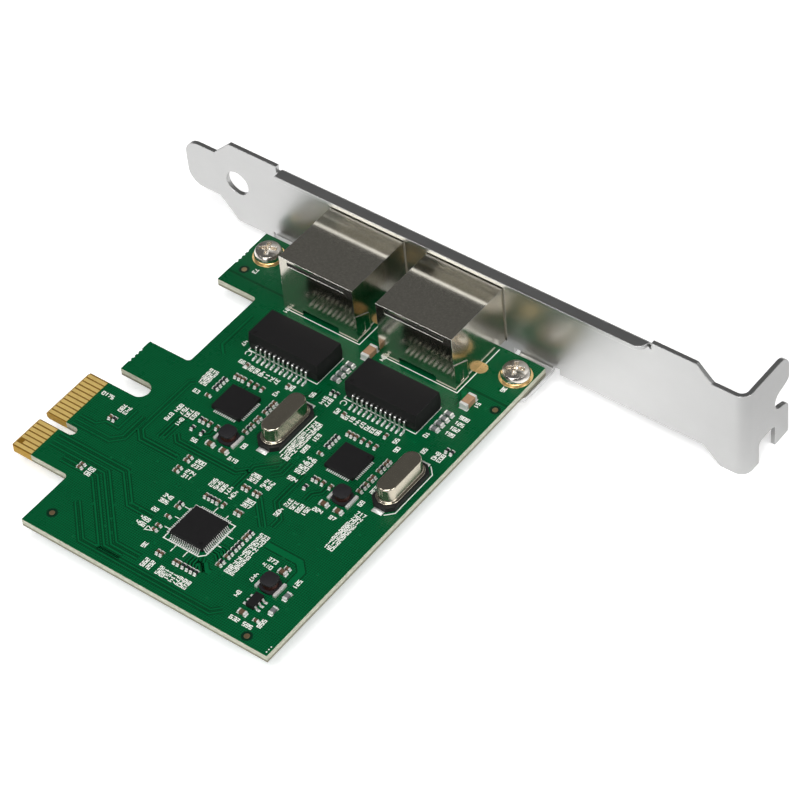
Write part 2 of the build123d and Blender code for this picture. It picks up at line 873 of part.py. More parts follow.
def make_can(x, y):
    """Drawn metal can with a rolled rim at its foot."""
    z0 = board_top + crystal_base_height
    z1 = z0 + can_height
    can = stadium(can_length, can_width, z0, z1)
    can = chamfer(can.faces().sort_by(Axis.Z)[-1].edges(), can_edge_chamfer)
    growth = 2 * can_rim_growth
    can += stadium(can_length + growth, can_width + growth, z0, z0 + can_rim_height)
    return turned(can, 0, x, y)


def make_crystal_base(x, y):
    """Insulating base with cut corners under the can."""
    a = crystal_base_length / 2
    b = crystal_base_width / 2
    base = block(-a, a, -b, b, board_top, board_top + crystal_base_height)
    base = chamfer(base.edges().filter_by(Axis.Z), crystal_base_chamfer)
    return turned(base, 0, x, y)


def make_crystal_pads(x, y):
    """Tinned lead ends that come out of both ends of the base."""
    x0 = crystal_base_length / 2
    half = crystal_pad_width / 2
    z1 = board_top + crystal_pad_height
    pad = block(x0, x0 + crystal_pad_length, -half, half, board_top, z1)
    return [turned(pad, angle, x, y) for angle in (0, 180)]


# Power inductors
def inductor_levels():
    """Heights of the underside, post, upper flange and top of a drum core."""
    z0 = board_top + inductor_height_above_board
    z1 = z0 + inductor_base_height
    z2 = z1 + inductor_winding_height
    return z0, z1, z2, z2 + inductor_top_height


def make_inductor_core(x, y):
    """Drum core: foot with cut corners, post and many-sided top flange."""
    z0, z1, z2, z3 = inductor_levels()
    half = inductor_size / 2
    post = inductor_post / 2
    foot = block(-half, half, -half, half, z0, z1)
    core = chamfer(foot.edges().filter_by(Axis.Z), inductor_corner)
    core += block(-post, post, -post, post, z1, z2)
    top = Pos(0, 0, z2) * RegularPolygon(inductor_top_diameter / 2, inductor_top_sides)
    core += extrude(top, z3 - z2)
    return turned(core, 0, x, y)


def make_inductor_winding(x, y):
    """Coil of wire round the post, as one closed ring."""
    _, z1, z2, _ = inductor_levels()
    post = inductor_post / 2
    outline = Pos(0, 0, z1) * RegularPolygon(inductor_winding_diameter / 2, inductor_winding_sides)
    ring = extrude(outline, z2 - z1) - block(-post, post, -post, post, z1, z2)
    return turned(ring, 0, x, y)


def make_inductor_ends(x, y):
    """Tinned end plates against the foot of the core."""
    half = inductor_end_width / 2
    y0 = inductor_size / 2
    z1 = board_top + inductor_height_above_board + inductor_base_height
    plate = block(-half, half, y0, y0 + inductor_end_length, board_top, z1)
    return [turned(plate, angle, x, y) for angle in (0, 180)]


# Chip parts
def chip_body(size, end):
    length, width, height = size
    a = length / 2 - end
    return block(-a, a, -width / 2, width / 2, board_top, board_top + height)


def chip_ends(size, end):
    length, width, height = size
    a = length / 2
    b = width / 2 + end_growth
    z1 = board_top + height + end_growth
    return [block(-a, end - a, -b, b, board_top, z1), block(a - end, a, -b, b, board_top, z1)]


def placed(solids, places):
    """Every solid at every place, given as x, y and turn."""
    return [turned(solid, angle, x, y) for x, y, angle in places for solid in solids]


def repeated(offsets, origins):
    """Places of like parts round several origins."""
    return [(x + dx, y + dy, turn) for x, y in origins for dx, dy, turn in offsets]


def column(x, ys, turn):
    return [(x, y, turn) for y in ys]


def row(xs, y, turn):
    return [(x, y, turn) for x in xs]


# Places of the chip parts round a controller, from its centre
channel_small_capacitors = (
    column(-5.2, (1.55, 0.15, -1.2, -2.55, -3.4, -4.25), 0)
    + row((-3.8, -3.0, -1.2, 0.4, 1.2, 2.35, 4.2), 5.4, 90)
    + column(6.1, (0.8, -0.8, -1.95), 0)
    + [(1.1, -5.4, 90)]
)
channel_small_resistors = (
    row((-3.5, -2.65, -1.75, -0.9), -5.4, 90)
    + row((-2.1, 3.2), 5.4, 90)
    + [(6.1, -2.75, 0), (8.4, -2.75, 0), (-11.2, 12.1, 0), (-11.2, 13.1, 0)]
)
channel_medium_capacitors = column(9.7, (2.2, 5.2), 90)
channel_inductor = (6.9, 4.0)

# Places of the chip parts round a magnetics module, from its centre
port_medium_resistors = row((-2.95, -1.6, -0.25, 1.1), 9.55, 90)
port_small_capacitors = column(6.9, (3.65, -5.4), 0)

# Places of the chip parts round the bridge package and its supply, from the origin
bridge_small_capacitors = (
    row((-6.4, -5.5, -3.6, -2.7), 27.8, 90)
    + row((3.4, 5.9, 8.3, 9.4), 33.3, 90)
    + column(-1.2, (43.05, 42.2, 39.5, 38.3, 35.7), 0)
    + column(-6.2, (42.95, 42.1, 40.6, 39.75), 0)
    + row((1.85, 2.65, 7.3, 9.4), 47.15, 90)
    + column(12.8, (41.5, 40.7, 37.8, 37.0), 0)
    + row((4.9, 5.75), 13.6, 90)
    + [(-6.0, 10.35, 0), (3.8, 57.1, 90), (15.2, 59.7, 90)]
)
bridge_small_resistors = (
    row((1.05, 3.75, 4.6, 5.45, 6.45, 8.6), 47.15, 90)
    + column(12.8, (45.15, 44.3, 43.45, 42.5), 0)
    + column(-1.2, (37.4, 36.55), 0)
    + [(2.5, 33.3, 90), (-6.0, 11.3, 0), (-11.9, 25.95, 0)]
)
supply_medium_capacitors = [(4.85, 56.9, 90), (15.1, 56.8, 90)]
supply_medium_resistors = row((8.5, 12.1), 60.75, 0)
supply_inductor = (8.2, 57.1)


def write_chip_parts():
    small = [chip_body(small_chip, 0)]
    medium = chip_body(medium_chip, medium_end)
    large = chip_body(large_chip, large_end)
    capacitor_places = (
        repeated(channel_small_capacitors, controller_centres)
        + repeated(port_small_capacitors, transformer_centres)
        + bridge_small_capacitors
    )
    resistor_places = repeated(channel_small_resistors, controller_centres) + bridge_small_resistors
    medium_places = repeated(channel_medium_capacitors, controller_centres) + supply_medium_capacitors
    film_places = repeated(port_medium_resistors, transformer_centres) + supply_medium_resistors
    large_y = jack_centres[1] - jack_width / 2 - large_chip_gap - large_chip[1] / 2
    large_places = [(large_capacitor_x, large_y + n * port_pitch, 0) for n in range(2)]
    write("small_capacitors", *placed(small, capacitor_places))
    write("small_resistors", *placed(small, resistor_places))
    write("medium_capacitor_bodies", *placed([medium], medium_places))
    write("medium_capacitor_ends", *placed(chip_ends(medium_chip, medium_end), medium_places))
    write("film_resistor_bodies", *placed([medium], film_places))
    write("film_resistor_ends", *placed(chip_ends(medium_chip, medium_end), film_places))
    write("large_capacitor_bodies", *placed([large], large_places))
    write("large_capacitor_ends", *placed(chip_ends(large_chip, large_end), large_places))


def write_inductors():
    dx, dy = channel_inductor
    places = [(x + dx, y + dy) for x, y in controller_centres] + [supply_inductor]
    write("inductor_cores", *[make_inductor_core(x, y) for x, y in places])
    write("inductor_windings", *[make_inductor_winding(x, y) for x, y in places])
    write("inductor_ends", *[end for x, y in places for end in make_inductor_ends(x, y)])


def write_ports():
    for number, centre_y in enumerate(jack_centres, start=1):
        write(f"jack_shell_{number}", make_shell(centre_y))
        write(f"jack_housing_{number}", make_housing(centre_y))
        write(f"jack_contacts_{number}", *make_wires(centre_y))
        write(f"jack_lights_{number}", *light_boxes(centre_y, 0))
    for number, place in enumerate(transformer_centres, start=1):
        write(f"transformer_body_{number}", make_transformer(*place))
        write(f"transformer_leads_{number}", *make_transformer_leads(*place))


def write_channels():
    for number, place in enumerate(controller_centres, start=1):
        write(f"controller_chip_{number}", make_controller(*place))
    for number, place in enumerate(crystal_centres, start=1):
        write(f"crystal_can_{number}", make_can(*place))
        write(f"crystal_base_{number}", make_crystal_base(*place))
        write(f"crystal_pads_{number}", *make_crystal_pads(*place))


def main():
    os.makedirs("parts", exist_ok=True)
    write("circuit_board", make_board())
    write("edge_contacts_front", *make_contacts(board_top, board_top + contact_thickness))
    write("edge_contacts_back", *make_contacts(board_bottom - contact_thickness, board_bottom))
    write("bracket", make_bracket())
    write("bracket_screws", *[make_screw(x, y) for x, y in screw_places])
    write_ports()
    write_channels()
    write("bridge_chip", make_bridge())
    write("bridge_leads", *make_bridge_leads())
    write("regulator_body", make_regulator())
    write("regulator_leads", *make_regulator_leads())
    write_inductors()
    write_chip_parts()


main()
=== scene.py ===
import math

import bpy
import numpy as np
from bpy.props import FloatProperty, FloatVectorProperty, IntProperty, PointerProperty
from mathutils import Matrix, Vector


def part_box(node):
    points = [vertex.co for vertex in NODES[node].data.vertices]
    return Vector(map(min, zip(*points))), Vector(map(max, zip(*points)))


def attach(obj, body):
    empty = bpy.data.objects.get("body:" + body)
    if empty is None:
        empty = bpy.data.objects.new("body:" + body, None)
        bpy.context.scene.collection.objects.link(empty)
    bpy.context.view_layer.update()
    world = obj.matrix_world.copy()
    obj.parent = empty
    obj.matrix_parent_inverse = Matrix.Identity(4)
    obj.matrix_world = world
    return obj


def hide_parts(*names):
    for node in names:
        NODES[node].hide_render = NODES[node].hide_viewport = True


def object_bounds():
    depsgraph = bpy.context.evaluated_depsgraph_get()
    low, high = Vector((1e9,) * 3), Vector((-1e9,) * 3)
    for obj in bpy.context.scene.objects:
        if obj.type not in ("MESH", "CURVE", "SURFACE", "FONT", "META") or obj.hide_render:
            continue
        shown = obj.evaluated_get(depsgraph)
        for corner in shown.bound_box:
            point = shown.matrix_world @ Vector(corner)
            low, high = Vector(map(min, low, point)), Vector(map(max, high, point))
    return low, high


bl_info = {
    "name": "Network interface card",
    "version": (1, 0, 0),
    "blender": (4, 5, 0),
    "location": "View3D > Sidebar > Card",
    "description": "Finishes the packed frame of a two-port network interface card",
    "category": "Object",
}

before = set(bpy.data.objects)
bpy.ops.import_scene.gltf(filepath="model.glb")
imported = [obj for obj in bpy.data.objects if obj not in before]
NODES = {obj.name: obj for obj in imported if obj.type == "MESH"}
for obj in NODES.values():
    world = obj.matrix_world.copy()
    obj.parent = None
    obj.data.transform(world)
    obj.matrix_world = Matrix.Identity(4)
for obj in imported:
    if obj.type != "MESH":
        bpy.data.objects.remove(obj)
CAD_BOX = [list(corner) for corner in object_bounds()]
MM = 0.001
PAIR = ("1", "2")

# Camera of the photograph, in metres and degrees, fitted to the board, the contacts and the bracket.
CAMERA_PLACE = (0.24633, 0.30064, 0.39413)
CAMERA_TURN = (43.7327, 4.1652, 127.2699)
CAMERA_LENS = 144.371
SENSOR_WIDTH = 36.0
CLIP_START = 0.01

# Places on the board in millimetres: origin at the key notch, X to the free end, Y away from the slot.
BOTTOM, TOP = (corner[2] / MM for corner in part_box("circuit_board"))
TONGUE_TOP_Y = 4.6
TONGUE_SIDE_X = -13.0
FIDUCIALS = ((-43.6, 64.3), (-46.9, 6.6), (16.0, 16.45), (18.4, 60.4))
CORNER_DOTS = ((18.0, 65.1), (18.6, 65.1), (19.2, 65.1))

# Hatched copper: its pitch, and the bare line in it with the distances where copper starts and is full.
HATCH_PITCH = 0.42
ISOLATION_X = -45.3
ISOLATION_EDGE = (0.17, 0.26)

# Jacks: their centres, the legs of their shields, and the pins of their inserts in two rows.
JACKS_Y = (26.75, 47.95)
LEG_X = -50.25
LEG_REACH = 7.9
LEG_PAD_REACH = 8.45
PINS = 8
PIN_X = -45.7
PIN_ROWS_APART = 1.8
PIN_PITCH = 1.02

# Lands along each side of a controller.
CONTROLLER_LANDS = 12
CONTROLLER_PITCH = 0.4

# Printed outlines: the jacks' is open towards the bracket, the chip's has one corner cut off.
JACK_FRAME_X = (-55.6, -43.25)
JACK_FRAMES_Y = ((19.1, 35.4), (40.3, 56.5))
TRANSFORMER_FRAME_X = (-39.0, -31.7)
TRANSFORMER_FRAMES_Y = ((20.0, 35.15), (41.1, 56.35))
CHIP_FRAME = ((1.3, 35.6), (9.8, 35.6), (9.8, 43.1), (8.9, 44.0), (1.3, 44.0))
FIRST_LEAD_MARKS = ((-31.0, 20.5), (-30.7, 41.7))
THIN, BROAD, CHIP_LINE = 0.16, 0.18, 0.2

# Other printed lines: width and corners.
PRINTED_LINES = (
    (THIN, ((2.6, 34.2), (2.6, 35.4))), (THIN, ((5.2, 34.2), (5.2, 35.4))),
    (THIN, ((7.8, 34.2), (7.8, 35.4))), (THIN, ((3.7, 44.2), (3.7, 45.5))),
    (THIN, ((6.2, 44.2), (6.2, 45.0))), (THIN, ((10.0, 41.0), (11.3, 41.0))),
    (THIN, ((10.0, 38.5), (11.5, 38.5))), (THIN, ((-0.3, 39.0), (1.1, 39.0))),
    (THIN, ((0.2, 41.6), (1.1, 41.6))), (THIN, ((9.2, 31.8), (10.2, 31.8), (9.7, 33.0), (9.2, 31.8))),
    (BROAD, ((-27.2, 63.0), (-25.8, 64.35), (-15.6, 64.35), (-14.2, 63.0))),
    (BROAD, ((-25.8, 39.8), (-15.6, 39.8))),
)

# Printed numerals: x, y, digits and turn in degrees, and for a row also its count and its step.
NUMERALS = (
    (-28.4, 28.9, 2, 0, 7, 1.12), (-28.4, 50.9, 2, 0, 7, 1.12), (-28.6, 54.6, 2, 0), (-28.6, 32.1, 2, 0),
    (-28.6, 42.0, 2, 0), (-28.8, 20.9, 2, 90), (-29.6, 63.3, 3, 0, 2, 1.05), (-29.4, 39.5, 3, 0, 2, 1.05),
    (-42.8, 61.1, 2, 0), (-39.0, 61.2, 3, 90, 4, 1.4), (-48.3, 62.7, 2, 0), (-47.7, 8.6, 2, 0),
    (-32.6, 58.0, 2, 0), (-32.6, 18.3, 2, 0), (-42.9, 40.9, 2, 0), (-42.9, 19.4, 2, 0), (-29.4, 59.9, 2, 0),
    (-29.3, 36.1, 2, 0), (-17.8, 58.3, 3, 0), (-14.2, 58.3, 2, 0), (-27.1, 55.9, 2, 0), (-26.1, 30.6, 2, 0),
    (-13.5, 33.8, 2, 0), (-12.2, 59.8, 3, 90, 10, 0.95), (-9.0, 56.3, 2, 90), (-9.0, 53.2, 3, 90),
    (-7.7, 51.7, 3, 0, 4, 1.2), (-5.1, 48.0, 3, 0), (-17.4, 45.3, 3, 90, 4, 1.1), (-12.2, 45.3, 3, 90),
    (-21.8, 42.9, 3, 0), (-18.7, 42.9, 3, 0), (-24.3, 41.1, 3, 90, 10, 1.0), (-9.8, 6.5, 4, 90),
    (-9.4, 42.7, 3, 90, 2, 1.1), (-9.4, 39.9, 3, 90, 2, 1.1), (-4.3, 42.6, 3, 90, 2, 1.1),
    (-3.9, 39.3, 3, 0), (-4.2, 38.0, 3, 0, 4, 1.1), (-10.0, 34.2, 3, 90), (-9.9, 25.8, 2, 90),
    (-14.3, 22.2, 3, 0, 4, 1.15), (-11.8, 20.9, 3, 0), (-11.8, 18.6, 3, 0), (-24.2, 18.3, 3, 90, 4, 1.0),
    (-19.0, 18.7, 2, 90), (-6.5, 30.1, 3, 90, 2, 1.1), (-3.8, 30.1, 3, 90, 2, 1.1),
    (2.4, 30.4, 3, 90, 2, 1.2), (5.8, 30.4, 2, 90), (8.3, 30.4, 3, 90, 2, 1.2), (0.5, 49.5, 3, 90, 10, 1.0),
    (15.6, 45.4, 3, 0, 7, 0.95), (15.6, 37.7, 3, 0, 2, 1.2), (12.7, 34.0, 2, 0), (3.7, 53.9, 3, 90, 2, 1.4),
    (8.2, 53.5, 3, 0), (12.3, 53.5, 2, 0), (5.4, 60.4, 3, 0), (15.1, 60.8, 3, 0), (16.7, 59.1, 3, 90),
    (16.7, 56.4, 3, 90), (4.9, 15.6, 2, 90, 2, 1.1), (-8.9, 11.7, 3, 0, 2, 1.1),
)

# Strokes of the numerals from 0 to 9, in a cell 1 wide and 2 high.
DIGIT_STROKES = (
    (((0, 0), (1, 0), (1, 2), (0, 2), (0, 0)),),
    (((0.2, 1.6), (0.6, 2), (0.6, 0)),),
    (((0, 2), (1, 2), (1, 1), (0, 1), (0, 0), (1, 0)),),
    (((0, 2), (1, 2), (1, 0), (0, 0)), ((0.3, 1), (1, 1))),
    (((0, 2), (0, 1), (1, 1)), ((1, 2), (1, 0))),
    (((1, 2), (0, 2), (0, 1), (1, 1), (1, 0), (0, 0)),),
    (((1, 2), (0, 2), (0, 0), (1, 0), (1, 1), (0, 1)),),
    (((0, 2), (1, 2), (0.4, 0)),),
    (((0, 0), (1, 0), (1, 2), (0, 2), (0, 0)), ((0, 1), (1, 1))),
    (((0, 0), (1, 0), (1, 2), (0, 2), (0, 1), (1, 1)),),
)
DIGIT_WIDTH = 0.52
DIGIT_ADVANCE = 0.76
FIRST_NUMBER, NUMBERS, NUMBER_STEP = 100, 900, 37

# Bundles of tracks under the mask: track width, how many side by side, pitch, and corners of the first.
TRACKS = (
    (0.3, 2, 0.9, ((1.5, 5.6), (1.5, 20.9), (6.9, 26.3), (6.9, 31.2))),
    (0.3, 2, 0.9, ((3.4, 5.6), (3.4, 18.2), (14.9, 29.7), (14.9, 35.0))),
    (0.3, 2, 0.9, ((5.3, 9.6), (5.3, 17.2), (16.6, 28.5), (16.6, 32.4))),
    (0.3, 2, 0.9, ((-2.5, 5.6), (-2.5, 13.4), (-4.0, 14.9), (-9.3, 14.9))),
    (0.3, 1, 0.8, ((-3.6, 5.6), (-3.6, 9.0), (-4.9, 10.3), (-4.9, 13.1), (-9.8, 13.1))),
    (0.3, 2, 0.8, ((-20.4, 17.4), (-19.8, 16.8), (-7.0, 16.8), (-5.6, 18.2), (-5.6, 26.0))),
    (0.25, 2, 0.7, ((-9.6, 22.6), (-8.5, 23.7), (-8.5, 36.2), (-10.2, 37.9))),
    (0.25, 3, 0.7, ((-13.4, 22.4), (-12.2, 21.2), (-7.2, 21.2))),
    (0.25, 2, 0.7, ((-13.8, 41.9), (-10.6, 38.7), (-5.4, 38.7))),
    (0.25, 3, 0.75, ((-14.8, 43.4), (-12.0, 43.4), (-10.6, 42.0))),
    (0.25, 2, 0.75, ((-14.2, 46.7), (-6.9, 46.7), (-4.0, 49.6), (-2.0, 49.6))),
    (0.3, 2, 0.9, ((-6.9, 42.4), (-6.0, 43.6), (-1.4, 48.2))),
    (0.25, 3, 0.6, ((7.6, 46.2), (7.0, 45.6), (7.0, 44.4))),
    (0.25, 3, 0.6, ((8.9, 46.3), (8.0, 45.2), (8.0, 44.4))),
    (0.25, 2, 0.7, ((12.4, 45.6), (11.0, 44.2), (9.8, 43.6))),
    (0.25, 4, 0.6, ((13.2, 43.0), (11.6, 42.2), (10.2, 42.2))),
    (1.2, 1, 1.4, ((1.5, 50.9), (1.5, 57.8), (3.1, 59.4), (6.4, 59.4))),
    (0.9, 1, 1.4, ((-44.2, 57.3), (-42.6, 58.5), (-40.9, 58.5))),
    (0.9, 1, 1.4, ((10.2, 44.9), (11.4, 46.1), (11.4, 46.9))),
    (0.25, 3, 0.7, ((-31.0, 37.2), (-29.0, 37.2), (-27.6, 35.8))),
    (0.25, 2, 0.7, ((-26.4, 26.4), (-24.9, 26.4), (-24.2, 25.7), (-23.6, 25.7))),
    (0.25, 2, 0.7, ((-13.9, 27.4), (-12.3, 27.4), (-11.2, 26.3), (-9.4, 26.3))),
    (0.25, 2, 0.7, ((-13.9, 51.6), (-12.4, 51.6), (-11.2, 50.4), (-9.6, 50.4))),
    (0.25, 2, 0.8, ((11.4, 18.6), (17.4, 24.6), (17.4, 52.0), (16.0, 53.4))),
    (0.4, 1, 0.8, ((-38.6, 15.2), (-30.2, 15.2), (-28.4, 17.0))),
)
BACK_TRACKS = (
    (0.3, 6, 0.95, ((-7.4, 5.6), (-7.4, 14.0), (-2.6, 18.8), (-2.6, 33.4), (2.2, 38.2))),
    (0.3, 3, 0.95, ((2.0, 5.6), (2.0, 14.6), (7.6, 20.2), (7.6, 33.0))),
    (0.25, 5, 0.8, ((-29.8, 24.0), (-26.4, 24.0), (-22.4, 28.0), (-22.4, 44.6), (-14.0, 53.0), (0.0, 53.0))),
    (0.25, 4, 0.8, ((-44.2, 23.0), (-40.2, 23.0), (-38.4, 24.8), (-31.6, 24.8))),
    (0.25, 4, 0.8, ((-44.2, 44.2), (-40.2, 44.2), (-38.4, 46.0), (-31.6, 46.0))),
    (1.2, 1, 1.4, ((-20.0, 8.0), (-20.0, 15.4), (-15.0, 20.4), (14.4, 20.4), (16.6, 22.6), (16.6, 58.0))),
)

# Random vias: the field that they are drawn in, what they keep clear of a part, and a seed for each face.
VIA_FIELD = ((-43.0, 16.0), (18.0, 64.0))
VIA_MARGIN = 0.8
FRONT_SEED, BACK_SEED = 3, 4


# Shapes. A shape is a pair: points in millimetres, and arrays with the point numbers of a face in each row.

def loft(rings, capped=True):
    """Skin over rings of points. Point j of ring i, its neighbour j + 1 and the same two of ring i + 1
    make a face, the last point joins the first, and one face closes each end."""
    rings = np.asarray(rings, float)
    count, size = rings.shape[:2]
    start = np.arange(count - 1)[:, None] * size
    low, beside = start + np.arange(size), start + (np.arange(size) + 1) % size
    faces = [np.stack([low, beside, beside + size, low + size], axis=-1).reshape(-1, 4)]
    if capped:
        faces += [np.arange(size)[None, ::-1], (count - 1) * size + np.arange(size)[None]]
    return rings.reshape(-1, 3), faces


def joined(shapes):
    """One shape out of several: the face numbers of each move up by the points that stand before it."""
    starts = np.cumsum([0] + [len(points) for points, _ in shapes[:-1]])
    points = np.concatenate([points for points, _ in shapes])
    return points, [rows + start for (_, groups), start in zip(shapes, starts) for rows in groups]


def copies(shape, places):
    """A shape at each place (x, y, z, turn in degrees). Every point is turned about Z and then moved:
    x cos a - y sin a + X, x sin a + y cos a + Y, z + Z, worked out for all places as one array."""
    points, groups = shape
    places = np.asarray(places, float)
    x, y, z = points.T
    angle = np.radians(places[:, 3:4])
    turned = [x * np.cos(angle) - y * np.sin(angle), x * np.sin(angle) + y * np.cos(angle), z + 0 * angle]
    steps = (np.arange(len(places)) * len(points))[:, None, None]
    return ((np.stack(turned, axis=-1) + places[:, None, :3]).reshape(-1, 3),
            [(rows + steps).reshape(-1, rows.shape[1]) for rows in groups])


def moved(shape, place):
    """The shape moved by x, y and z."""
    points, groups = shape
    return points + place, groups


def on_board(shape, spots, level=0.0):
    """Copies of a shape at places (x, y) of the component side."""
    return copies(shape, [(x, y, level, 0) for x, y in spots])


def under_board(shape, spots):
    """Copies of a shape on the underside, at places (x, y) seen from above. They are set out face up and
    then turned over about the X axis, so y and z change sign."""
    points, groups = copies(shape, [(x, -y, -BOTTOM, 0) for x, y in spots])
    return points * (1, -1, -1), groups


def circle(radius, steps, start=0.0, span=360.0):
    """Points at equal angles on a circle, or on an arc of it: x = r cos a, y = r sin a."""
    angle = np.radians(start + span * np.arange(steps) / (steps if span >= 360.0 else steps - 1))
    return radius * np.stack([np.cos(angle), np.sin(angle)], axis=-1)


def rectangle(width, depth):
    """The four corners of a rectangle round the origin, against the clock."""
    return np.array([(-1, -1), (1, -1), (1, 1), (-1, 1)]) * (width / 2, depth / 2)


def stadium(length, width, steps):
    """A slot's outline: two half circles of the width, their centres (length - width) apart."""
    end = circle(width / 2, steps, -90, 180) + ((length - width) / 2, 0)
    return np.concatenate([end, -end])


def sideways(path, distance, closed=False):
    """The path moved to its left. A corner moves along the mitre of its two runs, by
    distance (n1 + n2) / (1 + n1.n2), where n1 and n2 are the runs' left normals."""
    path = np.asarray(path, float)
    runs = np.diff(np.concatenate([path, path[:1]]) if closed else path, axis=0)
    normals = np.stack([-runs[:, 1], runs[:, 0]], axis=-1) / np.linalg.norm(runs, axis=1)[:, None]
    before = np.roll(normals, 1, axis=0) if closed else np.concatenate([normals[:1], normals])
    after = normals if closed else np.concatenate([normals, normals[-1:]])
    return path + distance * (before + after) / (1 + (before * after).sum(axis=1))[:, None]


def flat(outline, height):
    """An outline (x, y) lifted to a height, as a ring for a loft."""
    return np.insert(np.asarray(outline, float), 2, height, axis=1)


def upright(section, x):
    """A section (y, z) stood up at x, as a ring for a loft."""
    return np.insert(np.asarray(section, float), 0, x, axis=1)


def slab(outline, low, high, edge=0.0):
    """A plate with this outline. Its top edge is cut back by a small slope when edge isn't 0."""
    if not edge:
        return loft([flat(outline, low), flat(outline, high)])
    inner = sideways(outline, edge, closed=True)
    return loft([flat(outline, low), flat(outline, high - edge), flat(inner, high)])


def band(path, width, low, high, closed=False):
    """A flat strip along a path in the plane: a rectangular section, mitred at each corner."""
    left, right = (sideways(path, side * width / 2, closed) for side in (1, -1))
    rings = np.stack([flat(left, low), flat(left, high), flat(right, high), flat(right, low)], axis=1)
    return loft(np.concatenate([rings, rings[:1]]) if closed else rings, capped=not closed)


def strip(profile, width, thickness):
    """Flat wire bent along a profile (x, z): the profile moved to both sides by half the thickness,
    and drawn out in y by the width."""
    lower, upper = (sideways(profile, side * thickness / 2) for side in (-1, 1))
    edges = ((lower, width / 2), (upper, width / 2), (upper, -width / 2), (lower, -width / 2))
    return loft(np.stack([np.insert(line, 1, y, axis=1) for line, y in edges], axis=1))


def eased(path, reach, steps):
    """The path with each inner corner c rounded by (1 - t)^2 p + 2 t (1 - t) c + t^2 q,
    where p and q lie at the given reach before and after the corner."""
    path = np.asarray(path, float)
    corner = path[1:-1]
    p, q = (corner + run * reach / np.linalg.norm(run, axis=1)[:, None]
            for run in (path[:-2] - corner, path[2:] - corner))
    t = np.linspace(0, 1, steps)[None, :, None]
    arcs = (1 - t) ** 2 * p[:, None] + 2 * t * (1 - t) * corner[:, None] + t ** 2 * q[:, None]
    return np.concatenate([path[:1], arcs.reshape(-1, 2), path[-1:]])


def dome(length, width, height, steps, rings=5):
    """A drop of solder: x = a sin t cos u, y = b sin t sin u, z = h cos t, from the rim (t = 90) up."""
    rim = circle(0.5, steps) * (length, width)
    tilt = np.radians(np.linspace(90, 12, rings))
    return loft([flat(rim * math.sin(t), height * math.cos(t)) for t in tilt])


def annulus(outer, inner, low, high, steps=40):
    """A flat ring: up the outside, across the top and down the inside."""
    section = ((outer, low), (outer, high), (inner, high), (inner, low), (outer, low))
    return loft([flat(circle(radius, steps), height) for radius, height in section], capped=False)


def disc(radius, low, high, steps=20):
    """A round plate."""
    return slab(circle(radius, steps), low, high)


# What the frame says, and how pieces are added to it

def box(node):
    """The lowest and highest corners of a CAD node in millimetres."""
    return tuple(np.array(corner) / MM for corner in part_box(node))


def centre_of(low, high):
    """The middle, seen from above, of a box given by its lowest and highest corners."""
    return (low[:2] + high[:2]) / 2


def solids(node):
    """The lowest and highest corners, in millimetres, of each separate solid of a CAD node. Equal points
    are merged, and each takes the smallest number among its triangle's corners until nothing changes."""
    mesh = NODES[node].data
    points = np.zeros(len(mesh.vertices) * 3)
    mesh.vertices.foreach_get("co", points)
    corners = np.zeros(len(mesh.loops), int)
    mesh.loops.foreach_get("vertex_index", corners)
    points, where = np.unique(np.round(points.reshape(-1, 3) / MM, 4), axis=0, return_inverse=True)
    triangles = where.reshape(-1)[corners].reshape(-1, 3)
    number = np.arange(len(points))
    changed = True
    while changed:
        new = number.copy()
        np.minimum.at(new, triangles.reshape(-1), np.repeat(number[triangles].min(axis=1), 3))
        changed = (new != number).any()
        number = new
    return [(points[number == n].min(axis=0), points[number == n].max(axis=0)) for n in np.unique(number)]


def piece(name, shape, material, replaces=(), smooth=None):
    """A mesh piece carried by the card's one body. Faces that meet at less than the angle smooth, in
    degrees, are shaded as one surface."""
    points, groups = shape
    mesh = bpy.data.meshes.new(name)
    mesh.from_pydata((points * MM).tolist(), [], [row for rows in groups for row in rows.tolist()])
    mesh.materials.append(material)
    if smooth:
        mesh.polygons.foreach_set("use_smooth", np.ones(len(mesh.polygons), bool))
        mesh.set_sharp_from_angle(angle=math.radians(smooth))
    mesh.update()
    made = bpy.data.objects.new(name, mesh)
    bpy.context.scene.collection.objects.link(made)
    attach(made, "root")
    if replaces:
        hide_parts(*replaces)


def dress(material, *nodes):
    """Gives CAD nodes their finished material."""
    for node in nodes:
        NODES[node].material_slots[0].material = material


# Node trees

def feed(node, inputs):
    """Gives a node its inputs: a socket is linked, a colour is set with its alpha, and a value is set."""
    for name, value in inputs.items():
        socket = node.inputs[name]
        if isinstance(value, bpy.types.NodeSocket):
            node.id_data.links.new(value, socket)
        elif socket.type == "RGBA":
            socket.default_value = (*value, 1.0)
        else:
            socket.default_value = value


def add_node(tree, kind, inputs=None, **properties):
    """A shader node with its properties and inputs."""
    made = tree.nodes.new(kind)
    for name, value in properties.items():
        setattr(made, name, value)
    feed(made, inputs or {})
    return made


def maths(tree, operation, first, second=0.0, third=0.0):
    """The result of a Math node."""
    return add_node(tree, "ShaderNodeMath", {0: first, 1: second, 2: third}, operation=operation).outputs[0]


def vectors(tree, operation, first, second):
    """The outputs of a Vector Math node."""
    return add_node(tree, "ShaderNodeVectorMath", {0: first, 1: second}, operation=operation).outputs


def blended(tree, factor, first, second, blend="MIX"):
    """The colour of a Mix node."""
    inputs = {0: factor, 6: first, 7: second}
    return add_node(tree, "ShaderNodeMix", inputs, data_type="RGBA", blend_type=blend).outputs[2]


def spread(tree, value, low, high, start=0.0, end=1.0):
    """A value from start to end carried over to the range from low to high."""
    return add_node(tree, "ShaderNodeMapRange", {0: value, 1: start, 2: end, 3: low, 4: high}).outputs[0]


def local_place(tree):
    """Where a point lies in the card's own frame."""
    return add_node(tree, "ShaderNodeTexCoord").outputs["Object"]


